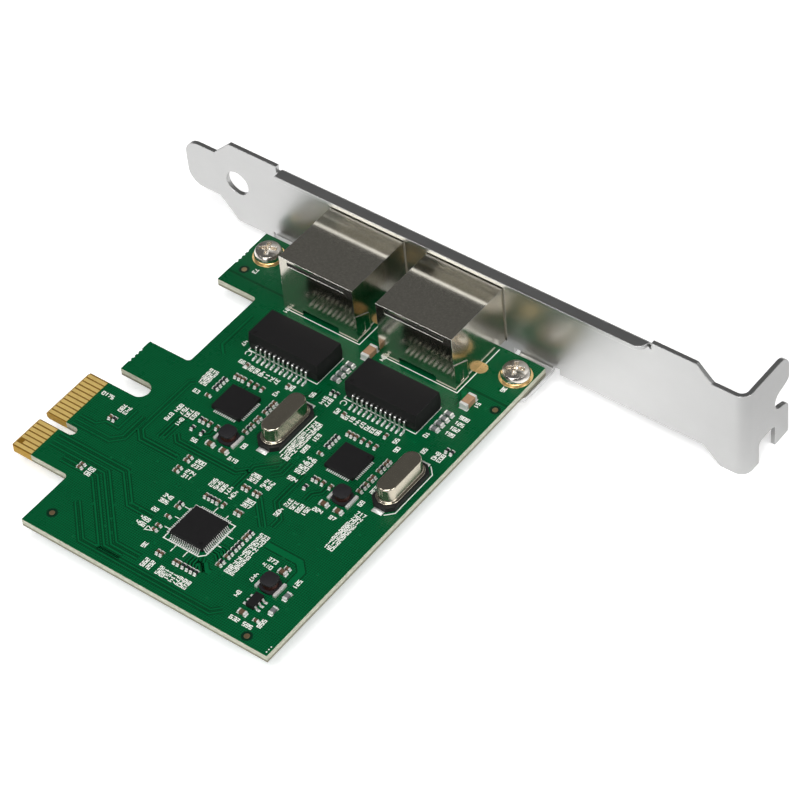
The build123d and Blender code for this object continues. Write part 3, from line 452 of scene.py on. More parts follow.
def noise(tree, place, scale, detail):
    """The height of a noise texture."""
    inputs = {"Vector": place, "Scale": scale, "Detail": detail}
    return add_node(tree, "ShaderNodeTexNoise", inputs).outputs[0]


def streaks(tree, place, scale):
    """Noise drawn out into lines. Scale is how often it repeats in x, y and z for each metre."""
    stretched = add_node(tree, "ShaderNodeMapping", {"Vector": place, "Scale": scale}).outputs[0]
    return noise(tree, stretched, 1.0, 3.0)


def relief(tree, height, distance, under=None, **properties):
    """The normal of a Bump node: a height of so many millimetres over the normal that lies under it."""
    inputs = {"Strength": 1.0, "Distance": distance * MM, "Height": height}
    if under is not None:
        inputs["Normal"] = under
    return add_node(tree, "ShaderNodeBump", inputs, **properties).outputs[0]


def new_group(name, inputs, outputs):
    """An empty shader node group: its tree, the sockets that it is given, and its output node."""
    tree = bpy.data.node_groups.new(name, "ShaderNodeTree")
    for direction, sockets in (("INPUT", inputs), ("OUTPUT", outputs)):
        for socket, kind in sockets.items():
            tree.interface.new_socket(name=socket, in_out=direction, socket_type="NodeSocket" + kind)
    return tree, tree.nodes.new("NodeGroupInput").outputs, tree.nodes.new("NodeGroupOutput")


def use_group(tree, name, inputs):
    """The outputs of a node that places one of the shared groups, with its own values."""
    return add_node(tree, "ShaderNodeGroup", inputs, node_tree=bpy.data.node_groups[name]).outputs


def grain_group():
    """Grain that every finish shares: slow patches change the colour and the roughness, and fine grain the
    roughness and the height."""
    tree, given, made = new_group(
        "surface_grain",
        {"Color": "Color", "Scale": "Float", "Variation": "Float", "Roughness": "Float",
         "Roughness Spread": "Float"},
        {"Color": "Color", "Roughness": "Float", "Height": "Float"},
    )
    place = local_place(tree)
    fine = noise(tree, place, maths(tree, "MULTIPLY", given["Scale"], 9.0), 2.0)
    centred = maths(tree, "SUBTRACT", noise(tree, place, given["Scale"], 4.0), 0.5)
    shade = maths(tree, "MULTIPLY_ADD", centred, maths(tree, "MULTIPLY", given["Variation"], 2.0), 1.0)
    mixed = maths(tree, "MULTIPLY_ADD", fine, 0.5, centred)
    rough = maths(tree, "MULTIPLY_ADD", mixed, given["Roughness Spread"], given["Roughness"])
    feed(made, {
        "Color": blended(tree, 1.0, given["Color"], shade, "MULTIPLY"),
        "Roughness": maths(tree, "MAXIMUM", rough, 0.02),
        "Height": fine,
    })


def edge_group():
    """Rounded edges: the normal is bent over a small radius, and Edge is 1 where it bends most, the mask for
    painted edge highlights.
    """
    tree, given, made = new_group("soft_edges", {"Radius": "Float"}, {"Normal": "Vector", "Edge": "Float"})
    bent = add_node(tree, "ShaderNodeBevel", {"Radius": given["Radius"]}, samples=4).outputs[0]
    true = add_node(tree, "ShaderNodeNewGeometry").outputs["Normal"]
    match = vectors(tree, "DOT_PRODUCT", bent, true)["Value"]
    feed(made, {"Normal": bent, "Edge": spread(tree, match, 1.0, 0.0, 0.72, 0.97)})


def spot_group():
    """A round mark seen from above: 1 inside a circle of the given radius round a centre, 0 outside."""
    tree, given, made = new_group("round_spot", {"Centre": "Vector", "Radius": "Float"}, {"Mask": "Float"})
    level_place = vectors(tree, "MULTIPLY", local_place(tree), (1, 1, 0))["Vector"]
    far = vectors(tree, "DISTANCE", level_place, given["Centre"])["Value"]
    ratio = maths(tree, "DIVIDE", far, given["Radius"])
    feed(made, {"Mask": spread(tree, ratio, 1.0, 0.0, 0.9, 1.0)})


# Finishes

def new_material(name):
    """An empty material with a Principled BSDF joined to its output."""
    material = bpy.data.materials.new(name)
    material.use_nodes = True
    tree = material.node_tree
    return material, tree, tree.nodes["Principled BSDF"]


def finish(name, colour, roughness, metallic=0.0, grain=1.0, variation=0.1, rough_spread=0.12, bump=0.004,
           edge=0.05, edge_highlight=None, highlight_share=0.0, level=0.5):
    """A finished material. Grain, bump and edge are sizes in millimetres; edge_highlight is the colour of a
    highlight painted on the edges, and highlight_share how strongly it is painted there; level is the
    strength of the gloss of what isn't metal."""
    material, tree, shader = new_material(name)
    surface = use_group(tree, "surface_grain", {
        "Color": colour, "Scale": 1.0 / (grain * MM), "Variation": variation, "Roughness": roughness,
        "Roughness Spread": rough_spread,
    })
    edges = use_group(tree, "soft_edges", {"Radius": edge * MM})
    shade = surface["Color"]
    # Painted highlight on the edges: the edge colour is mixed in where the bevelled normal bends most.
    if edge_highlight:
        shade = blended(tree, maths(tree, "MULTIPLY", edges["Edge"], highlight_share), shade, edge_highlight)
    feed(shader, {
        "Base Color": shade, "Roughness": surface["Roughness"], "Metallic": metallic,
        "Normal": relief(tree, surface["Height"], bump, edges["Normal"]), "Specular IOR Level": level,
    })
    return material


def parts_of(material):
    """A finished material's node tree and shader, and the sockets of its colour, roughness and normal."""
    tree = material.node_tree
    shader = tree.nodes["Principled BSDF"]
    fed = [shader.inputs[name].links[0].from_socket for name in ("Base Color", "Roughness", "Normal")]
    return tree, shader, fed


def board_finish(colours):
    """Solder mask over hatched copper on both faces, bare amber laminate on the contact tongue, and pale
    glass cloth in layers on the edges. Height tells faces from edges, and x and y tell the tongue."""
    material, tree, shader = new_material("solder_mask_board")
    place = local_place(tree)
    x, y, z = add_node(tree, "ShaderNodeSeparateXYZ", {0: place}).outputs[:3]
    turns = [maths(tree, "MULTIPLY", way, math.pi / (HATCH_PITCH * MM)) for way in (x, y)]
    across, along = (maths(tree, "ABSOLUTE", maths(tree, "SINE", turn)) for turn in turns)
    hatch = spread(tree, maths(tree, "MINIMUM", across, along), 1.0, 0.0, 0.1, 0.74)
    gap = maths(tree, "ABSOLUTE", maths(tree, "SUBTRACT", x, ISOLATION_X * MM))
    beside = spread(tree, gap, 0.0, 1.0, *(distance * MM for distance in ISOLATION_EDGE))
    hatch = maths(tree, "MULTIPLY", hatch, beside)
    surface = use_group(tree, "surface_grain", {
        "Color": (1.0, 1.0, 1.0), "Scale": 220.0, "Variation": 0.09, "Roughness": 0.26,
        "Roughness Spread": 0.1,
    })
    mask = blended(tree, hatch, colours.mask_over_laminate, colours.mask_over_copper)
    mask = blended(tree, 1.0, mask, surface["Color"], "MULTIPLY")
    layers = spread(tree, streaks(tree, place, (900, 900, 9000)), 0.0, 1.0, 0.35, 0.65)
    edge = blended(tree, layers, (0.42, 0.43, 0.33), (0.74, 0.73, 0.6))
    lower_edge = spread(tree, z, 1.0, 0.0, -0.32 * MM, -0.22 * MM)
    edge = blended(tree, lower_edge, edge, (0.26, 0.25, 0.18))
    on_face = maths(tree, "GREATER_THAN", maths(tree, "ABSOLUTE", z), (TOP - 0.004) * MM)
    near_slot = maths(tree, "LESS_THAN", y, TONGUE_TOP_Y * MM)
    on_tongue = maths(tree, "MULTIPLY", near_slot, maths(tree, "GREATER_THAN", x, TONGUE_SIDE_X * MM))
    amber = blended(tree, on_face, (0.5, 0.3, 0.05), colours.bare_laminate)
    rough = maths(tree, "MULTIPLY", surface["Roughness"], spread(tree, on_face, 2.2, 1.0))
    feed(shader, {
        "Base Color": blended(tree, on_tongue, blended(tree, on_face, edge, mask), amber),
        "Roughness": rough, "Specular IOR Level": 0.2,
        "Normal": relief(tree, maths(tree, "ADD", hatch, surface["Height"]), 0.012),
    })
    return material


def moulding_finish(name, colour, node, dimple, radius):
    """Moulded epoxy of a chip: matt grain, faintly lighter edges that are a painted highlight, and the round
    moulded mark at one corner.
    Dimple is how far in from that corner's two edges the mark lies, plus for the high side."""
    # The faintly lighter colour on the edges is a painted highlight.
    material = finish(name, colour, 0.5, grain=0.7, variation=0.12, bump=0.006, edge=0.07,
                      edge_highlight=(0.05, 0.05, 0.052), highlight_share=0.5, level=0.22)
    tree, shader, (base, _, normal) = parts_of(material)
    low, high = box(node)
    place = np.where(np.array(dimple) > 0, high[:2], low[:2]) - dimple
    mark = use_group(tree, "round_spot", {"Centre": (*place * MM, 0.0), "Radius": radius * MM})["Mask"]
    feed(shader, {
        "Base Color": blended(tree, maths(tree, "MULTIPLY", mark, 0.55), base, (0.004, 0.004, 0.004)),
        "Normal": relief(tree, mark, 0.05, normal, invert=True),
    })
    return material


def sheet_finish(name, colour, roughness, lines, rough_spread, bump, edge=0.22, grain=6.0, variation=0.05):
    """Rolled and plated sheet: fine lines along the rolling direction in the height and the roughness, over
    the shared grain. Lines is how often they repeat in x, y and z for each metre."""
    # The near-white colour on the edges is a painted highlight.
    material = finish(name, colour, roughness, metallic=1.0, grain=grain, variation=variation,
                      rough_spread=rough_spread, bump=0.0007, edge=edge, edge_highlight=(1.0, 1.0, 0.98), highlight_share=0.7)
    tree, shader, (_, rough, normal) = parts_of(material)
    rolled = streaks(tree, local_place(tree), lines)
    feed(shader, {
        "Roughness": maths(tree, "MULTIPLY_ADD", rolled, 0.06, rough),
        "Normal": relief(tree, rolled, bump, normal),
    })
    return material


def tin_finish(name, colours, metallic, bump):
    """Tin and solder, frosted like the real ones: a metal's gloss over a pale matt ground."""
    return finish(name, colours.tin, 0.3, metallic=metallic, grain=0.4, variation=0.14, bump=bump)


# Sizes and colours that a user may want to change

def length(name, description, millimetres):
    """A length property, held in metres and shown in the scene's unit."""
    return FloatProperty(name=name, description=description, default=millimetres * MM, min=0.0,
                         precision=5, unit="LENGTH")


def tint(name, description, colour):
    """A colour property."""
    return FloatVectorProperty(name=name, description=description, default=colour, size=3, min=0.0,
                               max=1.0, subtype="COLOR")


class CardSizes(bpy.types.PropertyGroup):
    """Sizes of what is drawn on and soldered to the board."""
    print_thickness: length("Print thickness", "Height of the white print above the board", 0.024)
    numeral_height: length("Numeral height", "Height of the printed numerals", 0.87)
    numeral_stroke: length("Numeral stroke", "Width of the lines of the numerals", 0.17)
    track_height: length("Track height", "Height of a track under the solder mask", 0.016)
    track_gap: length("Track gap", "Bare laminate left on each side of a track", 0.22)
    pad_height: length("Pad height", "Height of a tinned land", 0.03)
    via_diameter: length("Via diameter", "Outer diameter of a via's ring", 0.56)
    screw_pad_radius: length("Screw pad radius", "Outer radius of the plated ring under a screw", 3.0)
    leg_pad_radius: length("Leg pad radius", "Radius of the plated disc round a jack's leg", 1.3)
    cap_length: length("Cap length", "Length of the tinned end of the smallest chip parts", 0.21)
    fillet_reach: length("Fillet reach", "How far solder runs out from a chip part's end", 0.18)
    can_round: length("Can rounding", "Radius of the top edge of a crystal's can", 0.34)
    via_count: IntProperty(name="Vias", description="Vias tried at random places on each face",
                           default=150, min=0)


class CardColours(bpy.types.PropertyGroup):
    """Colours of the board and of what is soldered to it."""
    mask_over_copper: tint("Mask over copper", "Solder mask over the hatched copper", (0.0, 0.13, 0.04))
    mask_over_laminate: tint("Mask over laminate", "Solder mask between the lines", (0.0, 0.045, 0.013))
    mask_over_track: tint("Mask over track", "Solder mask on solid copper", (0.0, 0.115, 0.035))
    bare_laminate: tint("Bare laminate", "Laminate of the contact tongue", (0.22, 0.11, 0.012))
    gold: tint("Gold", "Plating of the contacts", (1.0, 0.72, 0.24))
    tin: tint("Tin", "Tinned leads, ends and solder", (0.9, 0.89, 0.86))
    print_white: tint("Print", "White print on the board", (0.9, 0.9, 0.84))
    ceramic: tint("Ceramic", "Body of the chip capacitors", (0.12, 0.068, 0.036))
    epoxy: tint("Epoxy", "Moulded bodies of the chips", (0.011, 0.0105, 0.011))


def settings(context):
    """The sizes in millimetres, and the colours."""
    sizes = context.scene.card_sizes
    lengths = [name for name in CardSizes.__annotations__ if name != "via_count"]
    return {name: getattr(sizes, name) / MM for name in lengths}, context.scene.card_colours


# Shapes of the pieces

def board_tracks(tracks, level, up, width_more, height):
    """Every bundle of tracks as flat bands: track k is the first path moved sideways by k pitches."""
    low, high = sorted((level, level + up * height))
    return joined([band(sideways(path, -pitch * k), width + width_more, low, high)
                   for width, count, pitch, path in tracks for k in range(count)])


def digit(strokes, height, stroke, low, high):
    """One numeral: each of its strokes is a flat band in a cell half as wide as it is high."""
    scale = np.array([height * DIGIT_WIDTH, (height - stroke) / 2])
    centre = scale * (0.5, 1)
    return joined([band(np.array(line) * scale - centre, stroke, low, high) for line in strokes])


def numeral_places(height):
    """Where each digit stands. Each label's number is one step past the last one, and goes round again
    after the highest. A label is read along its turn, and a row's next label stands below it."""
    places = [[] for _ in DIGIT_STROKES]
    number = FIRST_NUMBER
    for x, y, size, turn, *row in NUMERALS:
        count, step = row or (1, 0.0)
        cos, sin = math.cos(math.radians(turn)), math.sin(math.radians(turn))
        for k in range(count):
            number = FIRST_NUMBER + (number - FIRST_NUMBER + NUMBER_STEP) % NUMBERS
            for j, character in enumerate(str(number).zfill(size)[-size:]):
                shift = (j - (size - 1) / 2) * height * DIGIT_ADVANCE
                place = (x + cos * shift + sin * k * step, y + sin * shift - cos * k * step, 0, turn)
                places[int(character)].append(place)
    return places


def via(diameter, height):
    """A ring with a dimple: rings of points at falling radii, up the rim, over the top and down inside."""
    levels = ((1.0, 0.0), (1.0, 1.0), (0.5, 1.0), (0.36, 0.2))
    return loft([flat(circle(diameter / 2 * share, 8), height * rise) for share, rise in levels])


def free_places(count, seed):
    """Random places on the board's main field that no part covers."""
    spots = np.random.default_rng(seed).uniform(*VIA_FIELD, (count, 2))
    boxes = [box(node) for node in NODES if node not in ("circuit_board", "bracket", "bracket_screws")
             and not node.startswith(("small", "medium", "film", "large", "inductor"))]
    for group in ("small_capacitors", "small_resistors", "medium_capacitor_bodies", "film_resistor_bodies",
                  "inductor_cores"):
        boxes += solids(group)
    low, high = (np.array([corners[k][:2] for corners in boxes]) for k in (0, 1))
    inside = (spots[:, None] > low - VIA_MARGIN) & (spots[:, None] < high + VIA_MARGIN)
    return spots[~inside.all(axis=2).any(axis=1)]


def pads_beyond(boxes, centre, reach, extra, height):
    """A land under each lead foot: wider than the lead by a margin, and reaching out past its end, away
    from the centre."""
    shapes = []
    for low, high in boxes:
        middle = centre_of(low, high)
        size = (high - low)[:2]
        axis = int(np.argmax(size))
        side = np.sign(middle[axis] - centre[axis])
        size = size + extra
        size[axis] = size[axis] / 2 + reach
        middle[axis] = (high[axis] if side > 0 else low[axis]) + side * (reach - size[axis] / 2)
        shapes.append(slab(rectangle(*size) + middle, TOP, TOP + height, 0.01))
    return joined(shapes)


def screw_head(diameter, height, cross, depth, turn):
    """A pan head. Its side rises and leans in, and its top is a polar grid out to R with
    z = rim + crown (1 - (r / R)^2) less the cross: depth times a soft edge where |x| or |y| is under half
    the width of the cross, within its length."""
    steps = 96
    radius = diameter / 2
    width, reach = cross
    side = ((0.93, 0.0), (1.0, 0.16), (0.99, 0.4), (0.93, 0.66), (0.85, 0.82))
    rings = [flat(circle(radius * share, steps), height * rise) for share, rise in side]
    brim, rim = radius * side[-1][0], side[-1][1]
    r = brim * np.linspace(0.94, 0.02, 30)[:, None]
    angle = np.arange(steps) * 2 * np.pi / steps
    x, y = (np.abs(r * wave(angle - math.radians(turn))) for wave in (np.cos, np.sin))
    arm = np.clip((width / 2 - np.minimum(x, y)) / 0.12, 0, 1)
    arm = arm * np.clip((reach / 2 - np.maximum(x, y)) / 0.3, 0, 1)
    z = height * (rim + (1 - rim) * (1 - (r / brim) ** 2)) - depth * arm ** 0.7
    top = np.stack([r * np.cos(angle), r * np.sin(angle), z], axis=-1)
    return loft(np.concatenate([rings, top]))


def thread(diameter, pitch, drop, depth):
    """A threaded shank hanging below z = 0: the radius falls by the depth with the triangle wave of
    z / pitch + angle / 360, and the tip is drawn in."""
    steps = 32
    levels = np.linspace(-drop, 0, int(drop / pitch * 8))[:, None]
    angle = np.arange(steps) * 2 * np.pi / steps
    wave = np.abs(2 * ((levels / pitch + angle / (2 * np.pi)) % 1) - 1)
    radius = (diameter / 2 - depth * wave) * np.clip((levels + drop) / 0.5, 0.55, 1)
    return loft(np.stack([radius * np.cos(angle), radius * np.sin(angle), levels + 0 * radius], axis=-1))


def drawn_can(length, width, height, rounding, foot, foot_height):
    """A crystal's can: one slot outline after another, drawn in by each step of the side profile. The foot
    has a half circle for its rim, a quarter circle leads up to the wall, and another from the wall to the
    flat top: inset c - r cos a, height h + r sin a, with c and h the centre of each arc."""
    turn = np.radians(np.linspace(0, 90, 12))
    rim = foot_height / 2
    rise = foot * 0.5
    profile = [(rim - foot - rim * math.cos(a), rim + rim * math.sin(a))
               for a in np.radians(np.linspace(-90, 90, 8))]
    profile += [(rise * math.sin(a) - rise, foot_height + rise * (1 - math.cos(a))) for a in turn[::2]]
    profile += [(rounding * (1 - math.cos(a)), height - rounding * (1 - math.sin(a))) for a in turn]
    profile.append((rounding + 0.15, height))
    return loft([flat(stadium(length - 2 * inset, width - 2 * inset, 28), z) for inset, z in profile])


def drum(width, height, neck, low_share, high_share, top_share):
    """An inductor's core: superellipse outlines |x|^3 + |y|^3 = r^3, wide at both flanges and narrow
    between. The upper flange is as wide as the lower one times the top share."""
    wave = circle(1.0, 40)
    outline = np.sign(wave) * np.abs(wave) ** (2 / 3)
    half = width / 2
    top = half * top_share
    lower, upper = height * low_share, height * high_share
    levels = [(half * 0.97, 0), (half, 0.06), (half, lower), (neck, lower + 0.02), (neck, upper),
              (top * 0.99, upper + 0.02), (top, height - 0.16), (top * 0.97, height - 0.04),
              (top * 0.9, height)]
    return loft([flat(outline * radius, z) for radius, z in levels])


def chip_section(half, top, slope):
    """A chip part's section (y, z), its upper corners cut back by the slope."""
    return np.array([(half, 0), (half, top - slope), (half - slope, top), (slope - half, top),
                     (-half, top - slope), (-half, 0)])


def chip_block(along, across, height, slope=0.05):
    """A block along x with sloped upper long edges."""
    section = chip_section(across / 2, height, slope)
    return loft([upright(section, x) for x in (-along / 2, along / 2)])


def chip_end(outer, inner, across, height, grow=0.02, slope=0.07):
    """The tinned cap from inner to outer along x: a section a little larger than the body, its far edge
    drawn in."""
    half, top = across / 2 + grow, height + grow
    section = chip_section(half, top, slope)
    drawn = section * (1 - slope / half, 1 - slope / top)
    return loft([upright(section, inner), upright(section, outer - slope * 0.7), upright(drawn, outer)])


def chip_fillet(start, reach, across, height):
    """Solder that runs from the cap down to its land: a section whose height falls along x in a curve."""
    half = across / 2
    curve = ((0.0, 0.72), (0.3, 0.34), (0.65, 0.14), (1.0, 0.06))
    return loft([upright([(half, 0), (half, height * share), (-half, height * share), (-half, 0)],
                         start + reach * along) for along, share in curve])


def chip_layout(bodies, ends):
    """Places, sizes (length, width, height) and cap length of the chip parts in a node. The long side is
    the one that the tinned ends lie beyond; without a node of ends the whole part is the body's box."""
    caps = solids(ends) if ends else []
    tips = np.array([centre_of(low, high) for low, high in caps])
    cap = min((caps[0][1] - caps[0][0])[:2]) if caps else 0.0
    places = []
    for low, high in solids(bodies):
        centre = centre_of(low, high)
        size = (high - low)[:2]
        ahead = size
        if caps:
            ahead = np.abs(tips[np.argmin(np.linalg.norm(tips - centre, axis=1))] - centre)
        axis = int(np.argmax(ahead))
        places.append((*centre, TOP, 90.0 * axis))
    return places, (size[axis] + 2 * cap, size[1 - axis], high[2] - TOP), cap


# Operators, one for each piece or group of like pieces

class CARD_OT_board(bpy.types.Operator):
    """Solder mask, bare tongue and glass-cloth edges of the circuit board"""
    bl_idname = "card.board"
    bl_label = "Circuit board"

    def execute(self, context):
        dress(board_finish(context.scene.card_colours), "circuit_board")
        return {"FINISHED"}


class CARD_OT_tracks(bpy.types.Operator):
    """Tracks and vias that stand out under the solder mask on both faces"""
    bl_idname = "card.tracks"
    bl_label = "Tracks and vias"

    def execute(self, context):
        sizes, colours = settings(context)
        even = {"grain": 2.0, "variation": 0.08, "level": 0.2}
        track = finish("masked_copper", colours.mask_over_track, 0.26, **even)
        gap = finish("masked_laminate", colours.mask_over_laminate, 0.3, **even)
        height = sizes["track_height"]
        for name, tracks, level, up in (("front", TRACKS, TOP, 1), ("back", BACK_TRACKS, BOTTOM, -1)):
            wide = board_tracks(tracks, level, up, 2 * sizes["track_gap"], height * 0.4)
            piece("track_gaps_" + name, wide, gap)
            piece("tracks_" + name, board_tracks(tracks, level, up, 0.0, height), track)
        ring = via(sizes["via_diameter"], height * 1.6)
        count = context.scene.card_sizes.via_count
        front = on_board(ring, free_places(count, FRONT_SEED), TOP)
        piece("vias_front", front, track, smooth=40)
        piece("vias_back", under_board(ring, free_places(count, BACK_SEED)), track, smooth=40)
        return {"FINISHED"}


class CARD_OT_print(bpy.types.Operator):
    """White outlines, marks and running numerals"""
    bl_idname = "card.print"
    bl_label = "White print"

    def execute(self, context):
        sizes, colours = settings(context)
        ink = finish("white_print", colours.print_white, 0.55, grain=0.6, variation=0.14, bump=0.01,
                     edge=0.01)
        low, high = TOP, TOP + sizes["print_thickness"]
        outlines = [band(CHIP_FRAME, CHIP_LINE, low, high, closed=True)]
        open_x, near_x = JACK_FRAME_X
        for start, end in JACK_FRAMES_Y:
            corners = ((open_x, start), (near_x, start), (near_x, end), (open_x, end))
            outlines.append(band(corners, BROAD, low, high))
        left, right = TRANSFORMER_FRAME_X
        for start, end in TRANSFORMER_FRAMES_Y:
            outline = rectangle(right - left, end - start) + ((left + right) / 2, (start + end) / 2)
            outlines.append(band(outline, BROAD, low, high, closed=True))
        ring = circle(0.55, 14, start=40, span=290)
        outlines += [band(ring + place, THIN, low, high) for place in FIRST_LEAD_MARKS]
        outlines += [band(path, width, low, high) for width, path in PRINTED_LINES]
        piece("print_outlines", joined(outlines), ink)
        height, stroke = sizes["numeral_height"], sizes["numeral_stroke"]
        digits = [digit(strokes, height, stroke, low, high) for strokes in DIGIT_STROKES]
        rows = [copies(shape, places) for shape, places in zip(digits, numeral_places(height)) if places]
        piece("print_numerals", joined(rows), ink)
        piece("print_dots", on_board(disc(0.14, low, high, 8), CORNER_DOTS), ink)
        return {"FINISHED"}


class CARD_OT_lands(bpy.types.Operator):
    """Fiducials, plated rings, tinned lands and the solder under the jacks"""
    bl_idname = "card.lands"
    bl_label = "Lands and solder"

    def execute(self, context):
        sizes, colours = settings(context)
        copper = finish("bare_copper", (0.5, 0.36, 0.2), 0.4, metallic=1.0, grain=0.6)
        clear = finish("clear_ring", (0.0, 0.024, 0.01), 0.4, level=0.2)
        plate = finish("gold_ring", (0.92, 0.64, 0.3), 0.26, metallic=0.9, grain=1.6, variation=0.14)
        thick = sizes["pad_height"]
        rings = on_board(annulus(1.0, 0.5, TOP, TOP + 0.008), FIDUCIALS)
        piece("fiducial_rings", rings, clear)
        piece("fiducials", on_board(disc(0.52, TOP, TOP + 0.02), FIDUCIALS), copper)
        screws = [centre_of(low, high) for low, high in solids("bracket_screws")]
        ring = annulus(sizes["screw_pad_radius"], 1.8, TOP, TOP + thick)
        piece("screw_pads", on_board(ring, screws), plate)
        discs, legs = ([(LEG_X, jack + reach) for jack in JACKS_Y for reach in (-half, half)]
                       for half in (LEG_PAD_REACH, LEG_REACH))
        round_leg = disc(sizes["leg_pad_radius"], TOP, TOP + thick)
        piece("leg_pads", on_board(round_leg, discs), plate)
        piece("chip_lands", self.lands(thick), tin_finish("solder", colours, 0.35, 0.012))
        pins = [(PIN_X - PIN_ROWS_APART * (j % 2), jack + (j - (PINS - 1) / 2) * PIN_PITCH)
                for jack in JACKS_Y for j in range(PINS)]
        joints = [under_board(dome(1.35, 1.35, 1.15, 14), pins), under_board(dome(2.2, 2.9, 1.2, 18), legs)]
        piece("solder_joints", joined(joints), bpy.data.materials["solder"], smooth=60)
        return {"FINISHED"}

    def lands(self, thick):
        """Tinned lands round the controllers, and past the leads of the bridge and the regulator."""
        foot = slab(rectangle(0.9, 0.24), TOP, TOP + thick * 1.6, 0.02)
        along = (np.arange(CONTROLLER_LANDS) - (CONTROLLER_LANDS - 1) / 2) * CONTROLLER_PITCH
        lands = []
        for number in PAIR:
            low, high = box("controller_chip_" + number)
            row = on_board(foot, [((high[0] - low[0]) / 2 + 0.02, y) for y in along])
            lands.append(copies(row, [(*centre_of(low, high), 0, 90 * quarter) for quarter in range(4)]))
        for leads, body in (("bridge_leads", "bridge_chip"), ("regulator_leads", "regulator_body")):
            centre = centre_of(*box(body))
            lands.append(pads_beyond(solids(leads), centre, reach=0.3, extra=0.06, height=thick))
        return joined(lands)


class CARD_OT_contacts(bpy.types.Operator):
    """Gold plating of the edge contacts and of the spring contacts in the jacks"""
    bl_idname = "card.contacts"
    bl_label = "Contacts"

    def execute(self, context):
        # The paler gold on the contacts' edges is a painted highlight.
        gold = finish("gold_contact", context.scene.card_colours.gold, 0.3, metallic=0.5, grain=1.2,
                      variation=0.12, rough_spread=0.16, bump=0.006, edge=0.04, edge_highlight=(1.0, 0.82, 0.5),
                      highlight_share=0.5)
        dress(gold, "edge_contacts_front", "edge_contacts_back", "jack_contacts_1", "jack_contacts_2")
        return {"FINISHED"}


class CARD_OT_bracket(bpy.types.Operator):
    """Satin zinc-plated sheet of the bracket"""
    bl_idname = "card.bracket"
    bl_label = "Bracket"

    def execute(self, context):
        zinc = sheet_finish("plated_sheet", (0.55, 0.55, 0.545), 0.3, lines=(900, 30, 900),
                            rough_spread=0.08, bump=0.008)
        dress(zinc, "bracket")
        return {"FINISHED"}


class CARD_OT_screws(bpy.types.Operator):
    """Nickel-plated pan-head screws with cross recess and thread"""
    bl_idname = "card.screws"
    bl_label = "Screws"

    def execute(self, context):
        nickel = finish("nickel_screw", (0.82, 0.77, 0.7), 0.14, metallic=1.0, grain=0.7, variation=0.08,
                        rough_spread=0.14, bump=0.003)
        shapes = []
        for low, high in solids("bracket_screws"):
            centre = centre_of(low, high)
            head = screw_head(high[0] - low[0], high[2] - TOP, cross=(0.76, 3.3), depth=0.95, turn=25.0)
            shank = thread(diameter=2.95, pitch=0.5, drop=TOP - low[2], depth=0.27)
            shapes += [moved(head, (*centre, TOP)), moved(shank, (*centre, TOP + 0.02))]
        piece("pan_head_screws", joined(shapes), nickel, ("bracket_screws",), smooth=38)
        return {"FINISHED"}


class CARD_OT_jacks(bpy.types.Operator):
    """Mirror-bright shields, matt inserts and clear light bars of the jacks"""
    bl_idname = "card.jacks"
    bl_label = "Jacks"

    def execute(self, context):
        shield = sheet_finish("mirror_shield", (0.64, 0.61, 0.53), 0.1, lines=(1400, 160, 160),
                              rough_spread=0.1, bump=0.003, edge=0.16, grain=0.35, variation=0.2)
        insert = finish("moulded_insert", (0.012, 0.012, 0.013), 0.5, grain=0.8, bump=0.01, level=0.3)
        clear = finish("light_bar", (0.6, 0.66, 0.5), 0.25, grain=0.8, bump=0.002)
        feed(clear.node_tree.nodes["Principled BSDF"], {"Transmission Weight": 0.6})
        for material, node in ((shield, "jack_shell_"), (insert, "jack_housing_"), (clear, "jack_lights_")):
            dress(material, *(node + number for number in PAIR))
        return {"FINISHED"}


class CARD_OT_transformers(bpy.types.Operator):
    """Magnetics modules with their formed leads, tinned lands and moulded mark"""
    bl_idname = "card.transformers"
    bl_label = "Transformers"

    def execute(self, context):
        sizes, colours = settings(context)
        bright = finish("bright_lead", (0.85, 0.84, 0.82), 0.24, metallic=1.0, grain=0.4, bump=0.006)
        solder = tin_finish("lead_solder", colours, 0.4, 0.01)
        buried, foot, thickness = 0.25, 0.13, 0.2
        for number in PAIR:
            body, leads = "transformer_body_" + number, "transformer_leads_" + number
            moulding = moulding_finish("moulded_module_" + number, colours.epoxy, body,
                                       dimple=(0.95, -1.0), radius=0.42)
            dress(moulding, body)
            low, high = box(body)
            middle = (low + high)[0] / 2
            boxes = solids(leads)
            outer = max(lead_high[0] for _, lead_high in boxes) - middle
            inner = (high[0] - low[0]) / 2 - buried
            width = (boxes[0][1] - boxes[0][0])[1] * 0.8
            shoulder = max(lead_high[2] for _, lead_high in boxes) - TOP - 0.12
            profile = ((inner, shoulder), (inner + 0.75, shoulder), (inner + 0.95, foot), (outer - 0.1, foot))
            lead = strip(eased(profile, reach=0.28, steps=5), width, thickness)
            land = slab(rectangle(1.15, width * 1.2) + (outer - 0.5, 0), 0, sizes["pad_height"], 0.01)
            drop = moved(dome(0.9, width * 1.15, 0.34, 14, 6), (outer - 0.42, 0, 0.02))
            rows = sorted({round(float(near[1] + far[1]) / 2, 3) for near, far in boxes})
            places = [(middle, y, TOP, turn) for y in rows for turn in (0, 180)]
            piece("formed_leads_" + number, copies(lead, places), bright, (leads,), smooth=50)
            piece("lead_solder_" + number, copies(joined([land, drop]), places), solder, smooth=40)
        return {"FINISHED"}


class CARD_OT_chips(bpy.types.Operator):
    """Controllers, bridge and regulator with their moulded marks and tinned leads"""
    bl_idname = "card.chips"
    bl_label = "Chips"

    def execute(self, context):
        colours = context.scene.card_colours
        marks = (("controller_chip_1", (-0.7, 0.7), 0.22), ("controller_chip_2", (-0.7, 0.7), 0.22),
                 ("bridge_chip", (0.9, 0.9), 0.35), ("regulator_body", (-0.4, -0.4), 0.15))
        for node, mark, radius in marks:
            dress(moulding_finish("epoxy_of_" + node, colours.epoxy, node, mark, radius), node)
        dress(tin_finish("tinned_foot", colours, 0.85, 0.006), "bridge_leads", "regulator_leads")
        return {"FINISHED"}


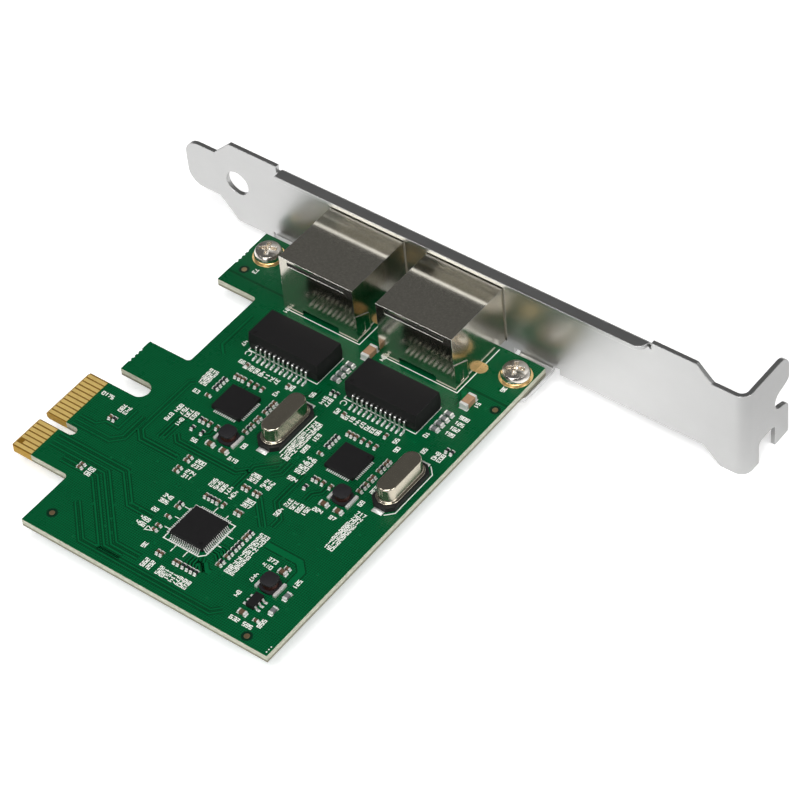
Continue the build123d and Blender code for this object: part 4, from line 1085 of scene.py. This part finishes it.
class CARD_OT_crystals(bpy.types.Operator):
    """Drawn crystal cans with a rolled foot, on their insulating bases"""
    bl_idname = "card.crystals"
    bl_label = "Crystals"

    def execute(self, context):
        sizes, colours = settings(context)
        can = sheet_finish("drawn_can", (0.56, 0.51, 0.41), 0.15, lines=(90, 900, 90),
                           rough_spread=0.05, bump=0.0005, edge=0.03, grain=1.5, variation=0.08)
        base = finish("base_moulding", (0.012, 0.012, 0.012), 0.45, grain=0.8, bump=0.008, level=0.3)
        lump = tin_finish("crystal_solder", colours, 0.6, 0.05)
        foot, foot_height = 0.45, 0.3
        for number in PAIR:
            dress(base, "crystal_base_" + number)
            node = "crystal_can_" + number
            low, high = box(node)
            along, across, height = high - low - (2 * foot, 2 * foot, 0)
            shape = drawn_can(along, across, height, sizes["can_round"], foot, foot_height)
            shape = moved(shape, (*centre_of(low, high), low[2]))
            piece("drawn_can_" + number, shape, can, (node,), smooth=35)
            pads = "crystal_pads_" + number
            lumps = []
            for low, high in solids(pads):
                size = high - low
                land = slab(rectangle(size[0] * 1.25, size[1]), 0, 0.04, 0.01)
                drop = dome(size[0] * 1.1, size[1] * 0.96, size[2], 24, 6)
                lumps.append(moved(joined([land, drop]), (*centre_of(low, high), low[2])))
            piece("crystal_solder_" + number, joined(lumps), lump, (pads,), smooth=50)
        return {"FINISHED"}


class CARD_OT_inductors(bpy.types.Operator):
    """Ferrite drum cores with enamelled windings and tinned ends"""
    bl_idname = "card.inductors"
    bl_label = "Inductors"

    def execute(self, context):
        ferrite = finish("ferrite", (0.016, 0.015, 0.017), 0.5, grain=0.4, variation=0.2, bump=0.012,
                         level=0.35)
        wire = finish("enamelled_wire", (0.06, 0.02, 0.015), 0.35, metallic=0.5, grain=0.3, bump=0.02)
        dress(wire, "inductor_windings")
        dress(tin_finish("tinned_end", context.scene.card_colours, 0.5, 0.012), "inductor_ends")
        shapes = []
        for low, high in solids("inductor_cores"):
            core = drum(high[0] - low[0], high[2] - low[2], neck=1.0, low_share=0.225, high_share=0.8,
                        top_share=0.86)
            shapes.append(moved(core, (*centre_of(low, high), low[2])))
        piece("drum_cores", joined(shapes), ferrite, ("inductor_cores",), smooth=40)
        return {"FINISHED"}


class CARD_OT_chip_parts(bpy.types.Operator):
    """Chip capacitors and resistors: blocks with tinned ends, solder and lands"""
    bl_idname = "card.chip_parts"
    bl_label = "Chip parts"

    def execute(self, context):
        sizes, colours = settings(context)
        brown = finish("fired_ceramic", colours.ceramic, 0.5, grain=0.5, variation=0.3, bump=0.008)
        dark = finish("glazed_film", (0.02, 0.02, 0.023), 0.35, grain=0.4, level=0.3)
        grey = finish("grey_film", (0.16, 0.17, 0.17), 0.35, grain=0.4)
        tan = finish("tan_ceramic", (0.4, 0.24, 0.14), 0.45, grain=0.6, variation=0.15, bump=0.006)
        tin = tin_finish("tinned_cap", colours, 0.4, 0.01)
        kinds = (("small_capacitors", None, brown, "ceramic"), ("small_resistors", None, dark, "film"),
                 ("medium_capacitor_bodies", "medium_capacitor_ends", brown, "ceramic"),
                 ("film_resistor_bodies", "film_resistor_ends", grey, "film"),
                 ("large_capacitor_bodies", "large_capacitor_ends", tan, "ceramic"))
        reach = sizes["fillet_reach"]
        for bodies, ends, material, slot in kinds:
            places, (along, across, high), cap = chip_layout(bodies, ends)
            cap = cap or sizes["cap_length"]
            tip = along / 2
            outline = rectangle(cap + reach, across * 1.12) + (tip + (reach - cap) / 2, 0)
            end = joined([chip_end(tip, tip - cap, across, high),
                          chip_fillet(tip - 0.02, reach * 0.8, across * 0.94, high),
                          slab(outline, 0, sizes["pad_height"], 0.01)])
            both_ends = copies(end, [(0, 0, 0, 0), (0, 0, 0, 180)])
            name = bodies.replace("_bodies", "")
            block = chip_block(along - 0.1, across, high)
            piece(name + "_blocks", copies(block, places), material, (bodies,))
            piece(name + "_caps", copies(both_ends, places), tin, (ends,) if ends else ())
        return {"FINISHED"}


# Stage. Lamps: name, place from the card's centre in metres, diameter and power.

LAMPS = (
    ("key_lamp", (0.3, 0.2, 0.75), 0.55, 4.4),
    ("side_lamp", (0.75, 0.1, 0.3), 0.5, 1.4),
    ("left_lamp", (0.5, -0.45, 0.7), 0.32, 1.5),
    ("rear_lamp", (-0.1, 0.8, 0.45), 0.5, 2.6),
)
FLOOR_SIZE = 6.0
FLOOR_GAP = 0.02 * MM
WORLD_GREY = 0.12

# The floor's own light: its strength and centre, and the distances in metres between which the mirrored part
# falls to none and the part that the camera sees rises to white.
GLOW = 0.45
GLOW_CENTRE = (-0.048, 0.02)
GLOW_FADE = (0.055, 0.1)
WHITE_FADE = (0.25, 0.9)


class CARD_OT_stage(bpy.types.Operator):
    """Pale floor, soft lamps, even surroundings and the photograph's camera"""
    bl_idname = "card.stage"
    bl_label = "Stage"

    def execute(self, context):
        scene = context.scene
        self.floor(scene, CAD_BOX[0][2])
        centre = (Vector(CAD_BOX[0]) + Vector(CAD_BOX[1])) / 2
        for name, place, size, power in LAMPS:
            light = bpy.data.lights.new(name, "AREA")
            light.shape = "DISK"
            light.size = size
            light.energy = power
            lamp = bpy.data.objects.new(name, light)
            lamp.location = centre + Vector(place)
            lamp.rotation_euler = (-Vector(place)).to_track_quat("-Z", "Y").to_euler()
            scene.collection.objects.link(lamp)
        self.surroundings(scene)
        lens = bpy.data.cameras.new("camera")
        lens.sensor_width = SENSOR_WIDTH
        lens.lens = CAMERA_LENS
        lens.clip_start = CLIP_START
        camera = bpy.data.objects.new("camera", lens)
        camera.location = CAMERA_PLACE
        camera.rotation_euler = [math.radians(angle) for angle in CAMERA_TURN]
        scene.collection.objects.link(camera)
        scene.camera = camera
        scene.view_settings.view_transform = "Standard"
        return {"FINISHED"}

    def floor(self, scene, level):
        """A wide pale sheet just under the card, which takes the card's shadow. It gives light of its own:
        to the camera up to white far out, and to reflections less further out, down to none. From below
        it is clear, so the underside can be looked at."""
        material, tree, shader = new_material("pale_floor")
        tree.nodes.remove(shader)
        matt = add_node(tree, "ShaderNodeBsdfDiffuse", {"Color": (0.9, 0.9, 0.9)}).outputs[0]
        path = add_node(tree, "ShaderNodeLightPath").outputs
        far = vectors(tree, "DISTANCE", local_place(tree), (*GLOW_CENTRE, level))["Value"]
        mirrored = maths(tree, "MAXIMUM", path["Is Glossy Ray"], path["Is Transmission Ray"])
        mirrored = maths(tree, "MULTIPLY", mirrored, spread(tree, far, GLOW, 0.0, *GLOW_FADE))
        shown = maths(tree, "MULTIPLY", path["Is Camera Ray"], spread(tree, far, GLOW, 1.0, *WHITE_FADE))
        strength = maths(tree, "MAXIMUM", shown, mirrored)
        glow = add_node(tree, "ShaderNodeEmission", {"Strength": strength}).outputs[0]
        both = add_node(tree, "ShaderNodeAddShader", {0: matt, 1: glow}).outputs[0]
        below = add_node(tree, "ShaderNodeNewGeometry").outputs["Backfacing"]
        clear = add_node(tree, "ShaderNodeBsdfTransparent").outputs[0]
        sided = add_node(tree, "ShaderNodeMixShader", {0: below, 1: both, 2: clear}).outputs[0]
        feed(tree.nodes["Material Output"], {"Surface": sided})
        points = flat(rectangle(FLOOR_SIZE, FLOOR_SIZE), level - FLOOR_GAP)
        mesh = bpy.data.meshes.new("floor")
        mesh.from_pydata(points.tolist(), [], [[0, 1, 2, 3]])
        mesh.materials.append(material)
        floor = bpy.data.objects.new("floor", mesh)
        scene.collection.objects.link(floor)

    def surroundings(self, scene):
        """An even grey room, white where the camera sees past the floor."""
        world = bpy.data.worlds.new("room")
        world.use_nodes = True
        tree = world.node_tree
        shown = add_node(tree, "ShaderNodeLightPath").outputs["Is Camera Ray"]
        grey = blended(tree, shown, (WORLD_GREY,) * 3, (1.0, 1.0, 1.0))
        feed(tree.nodes["Background"], {"Color": grey})
        scene.world = world


STEPS = (CARD_OT_board, CARD_OT_tracks, CARD_OT_print, CARD_OT_lands, CARD_OT_contacts, CARD_OT_bracket,
         CARD_OT_screws, CARD_OT_jacks, CARD_OT_transformers, CARD_OT_chips, CARD_OT_crystals,
         CARD_OT_inductors, CARD_OT_chip_parts, CARD_OT_stage)


class CARD_PT_panel(bpy.types.Panel):
    """Lists the card's sizes, colours and steps"""
    bl_idname = "CARD_PT_panel"
    bl_label = "Network interface card"
    bl_space_type = "VIEW_3D"
    bl_region_type = "UI"
    bl_category = "Card"

    def draw(self, context):
        for holder in (context.scene.card_sizes, context.scene.card_colours):
            column = self.layout.column()
            for name in holder.__annotations__:
                column.prop(holder, name)
        for step in STEPS:
            self.layout.operator(step.bl_idname)


CLASSES = (CardSizes, CardColours, *STEPS, CARD_PT_panel)


def register():
    for cls in CLASSES:
        bpy.utils.register_class(cls)
    bpy.types.Scene.card_sizes = PointerProperty(type=CardSizes)
    bpy.types.Scene.card_colours = PointerProperty(type=CardColours)


def unregister():
    del bpy.types.Scene.card_colours
    del bpy.types.Scene.card_sizes
    for cls in reversed(CLASSES):
        bpy.utils.unregister_class(cls)


def main():
    """Makes everything in order."""
    register()
    for group in (grain_group, edge_group, spot_group):
        group()
    for step in STEPS:
        module, name = step.bl_idname.split(".")
        getattr(getattr(bpy.ops, module), name)()


if __name__ == "__main__":
    main()
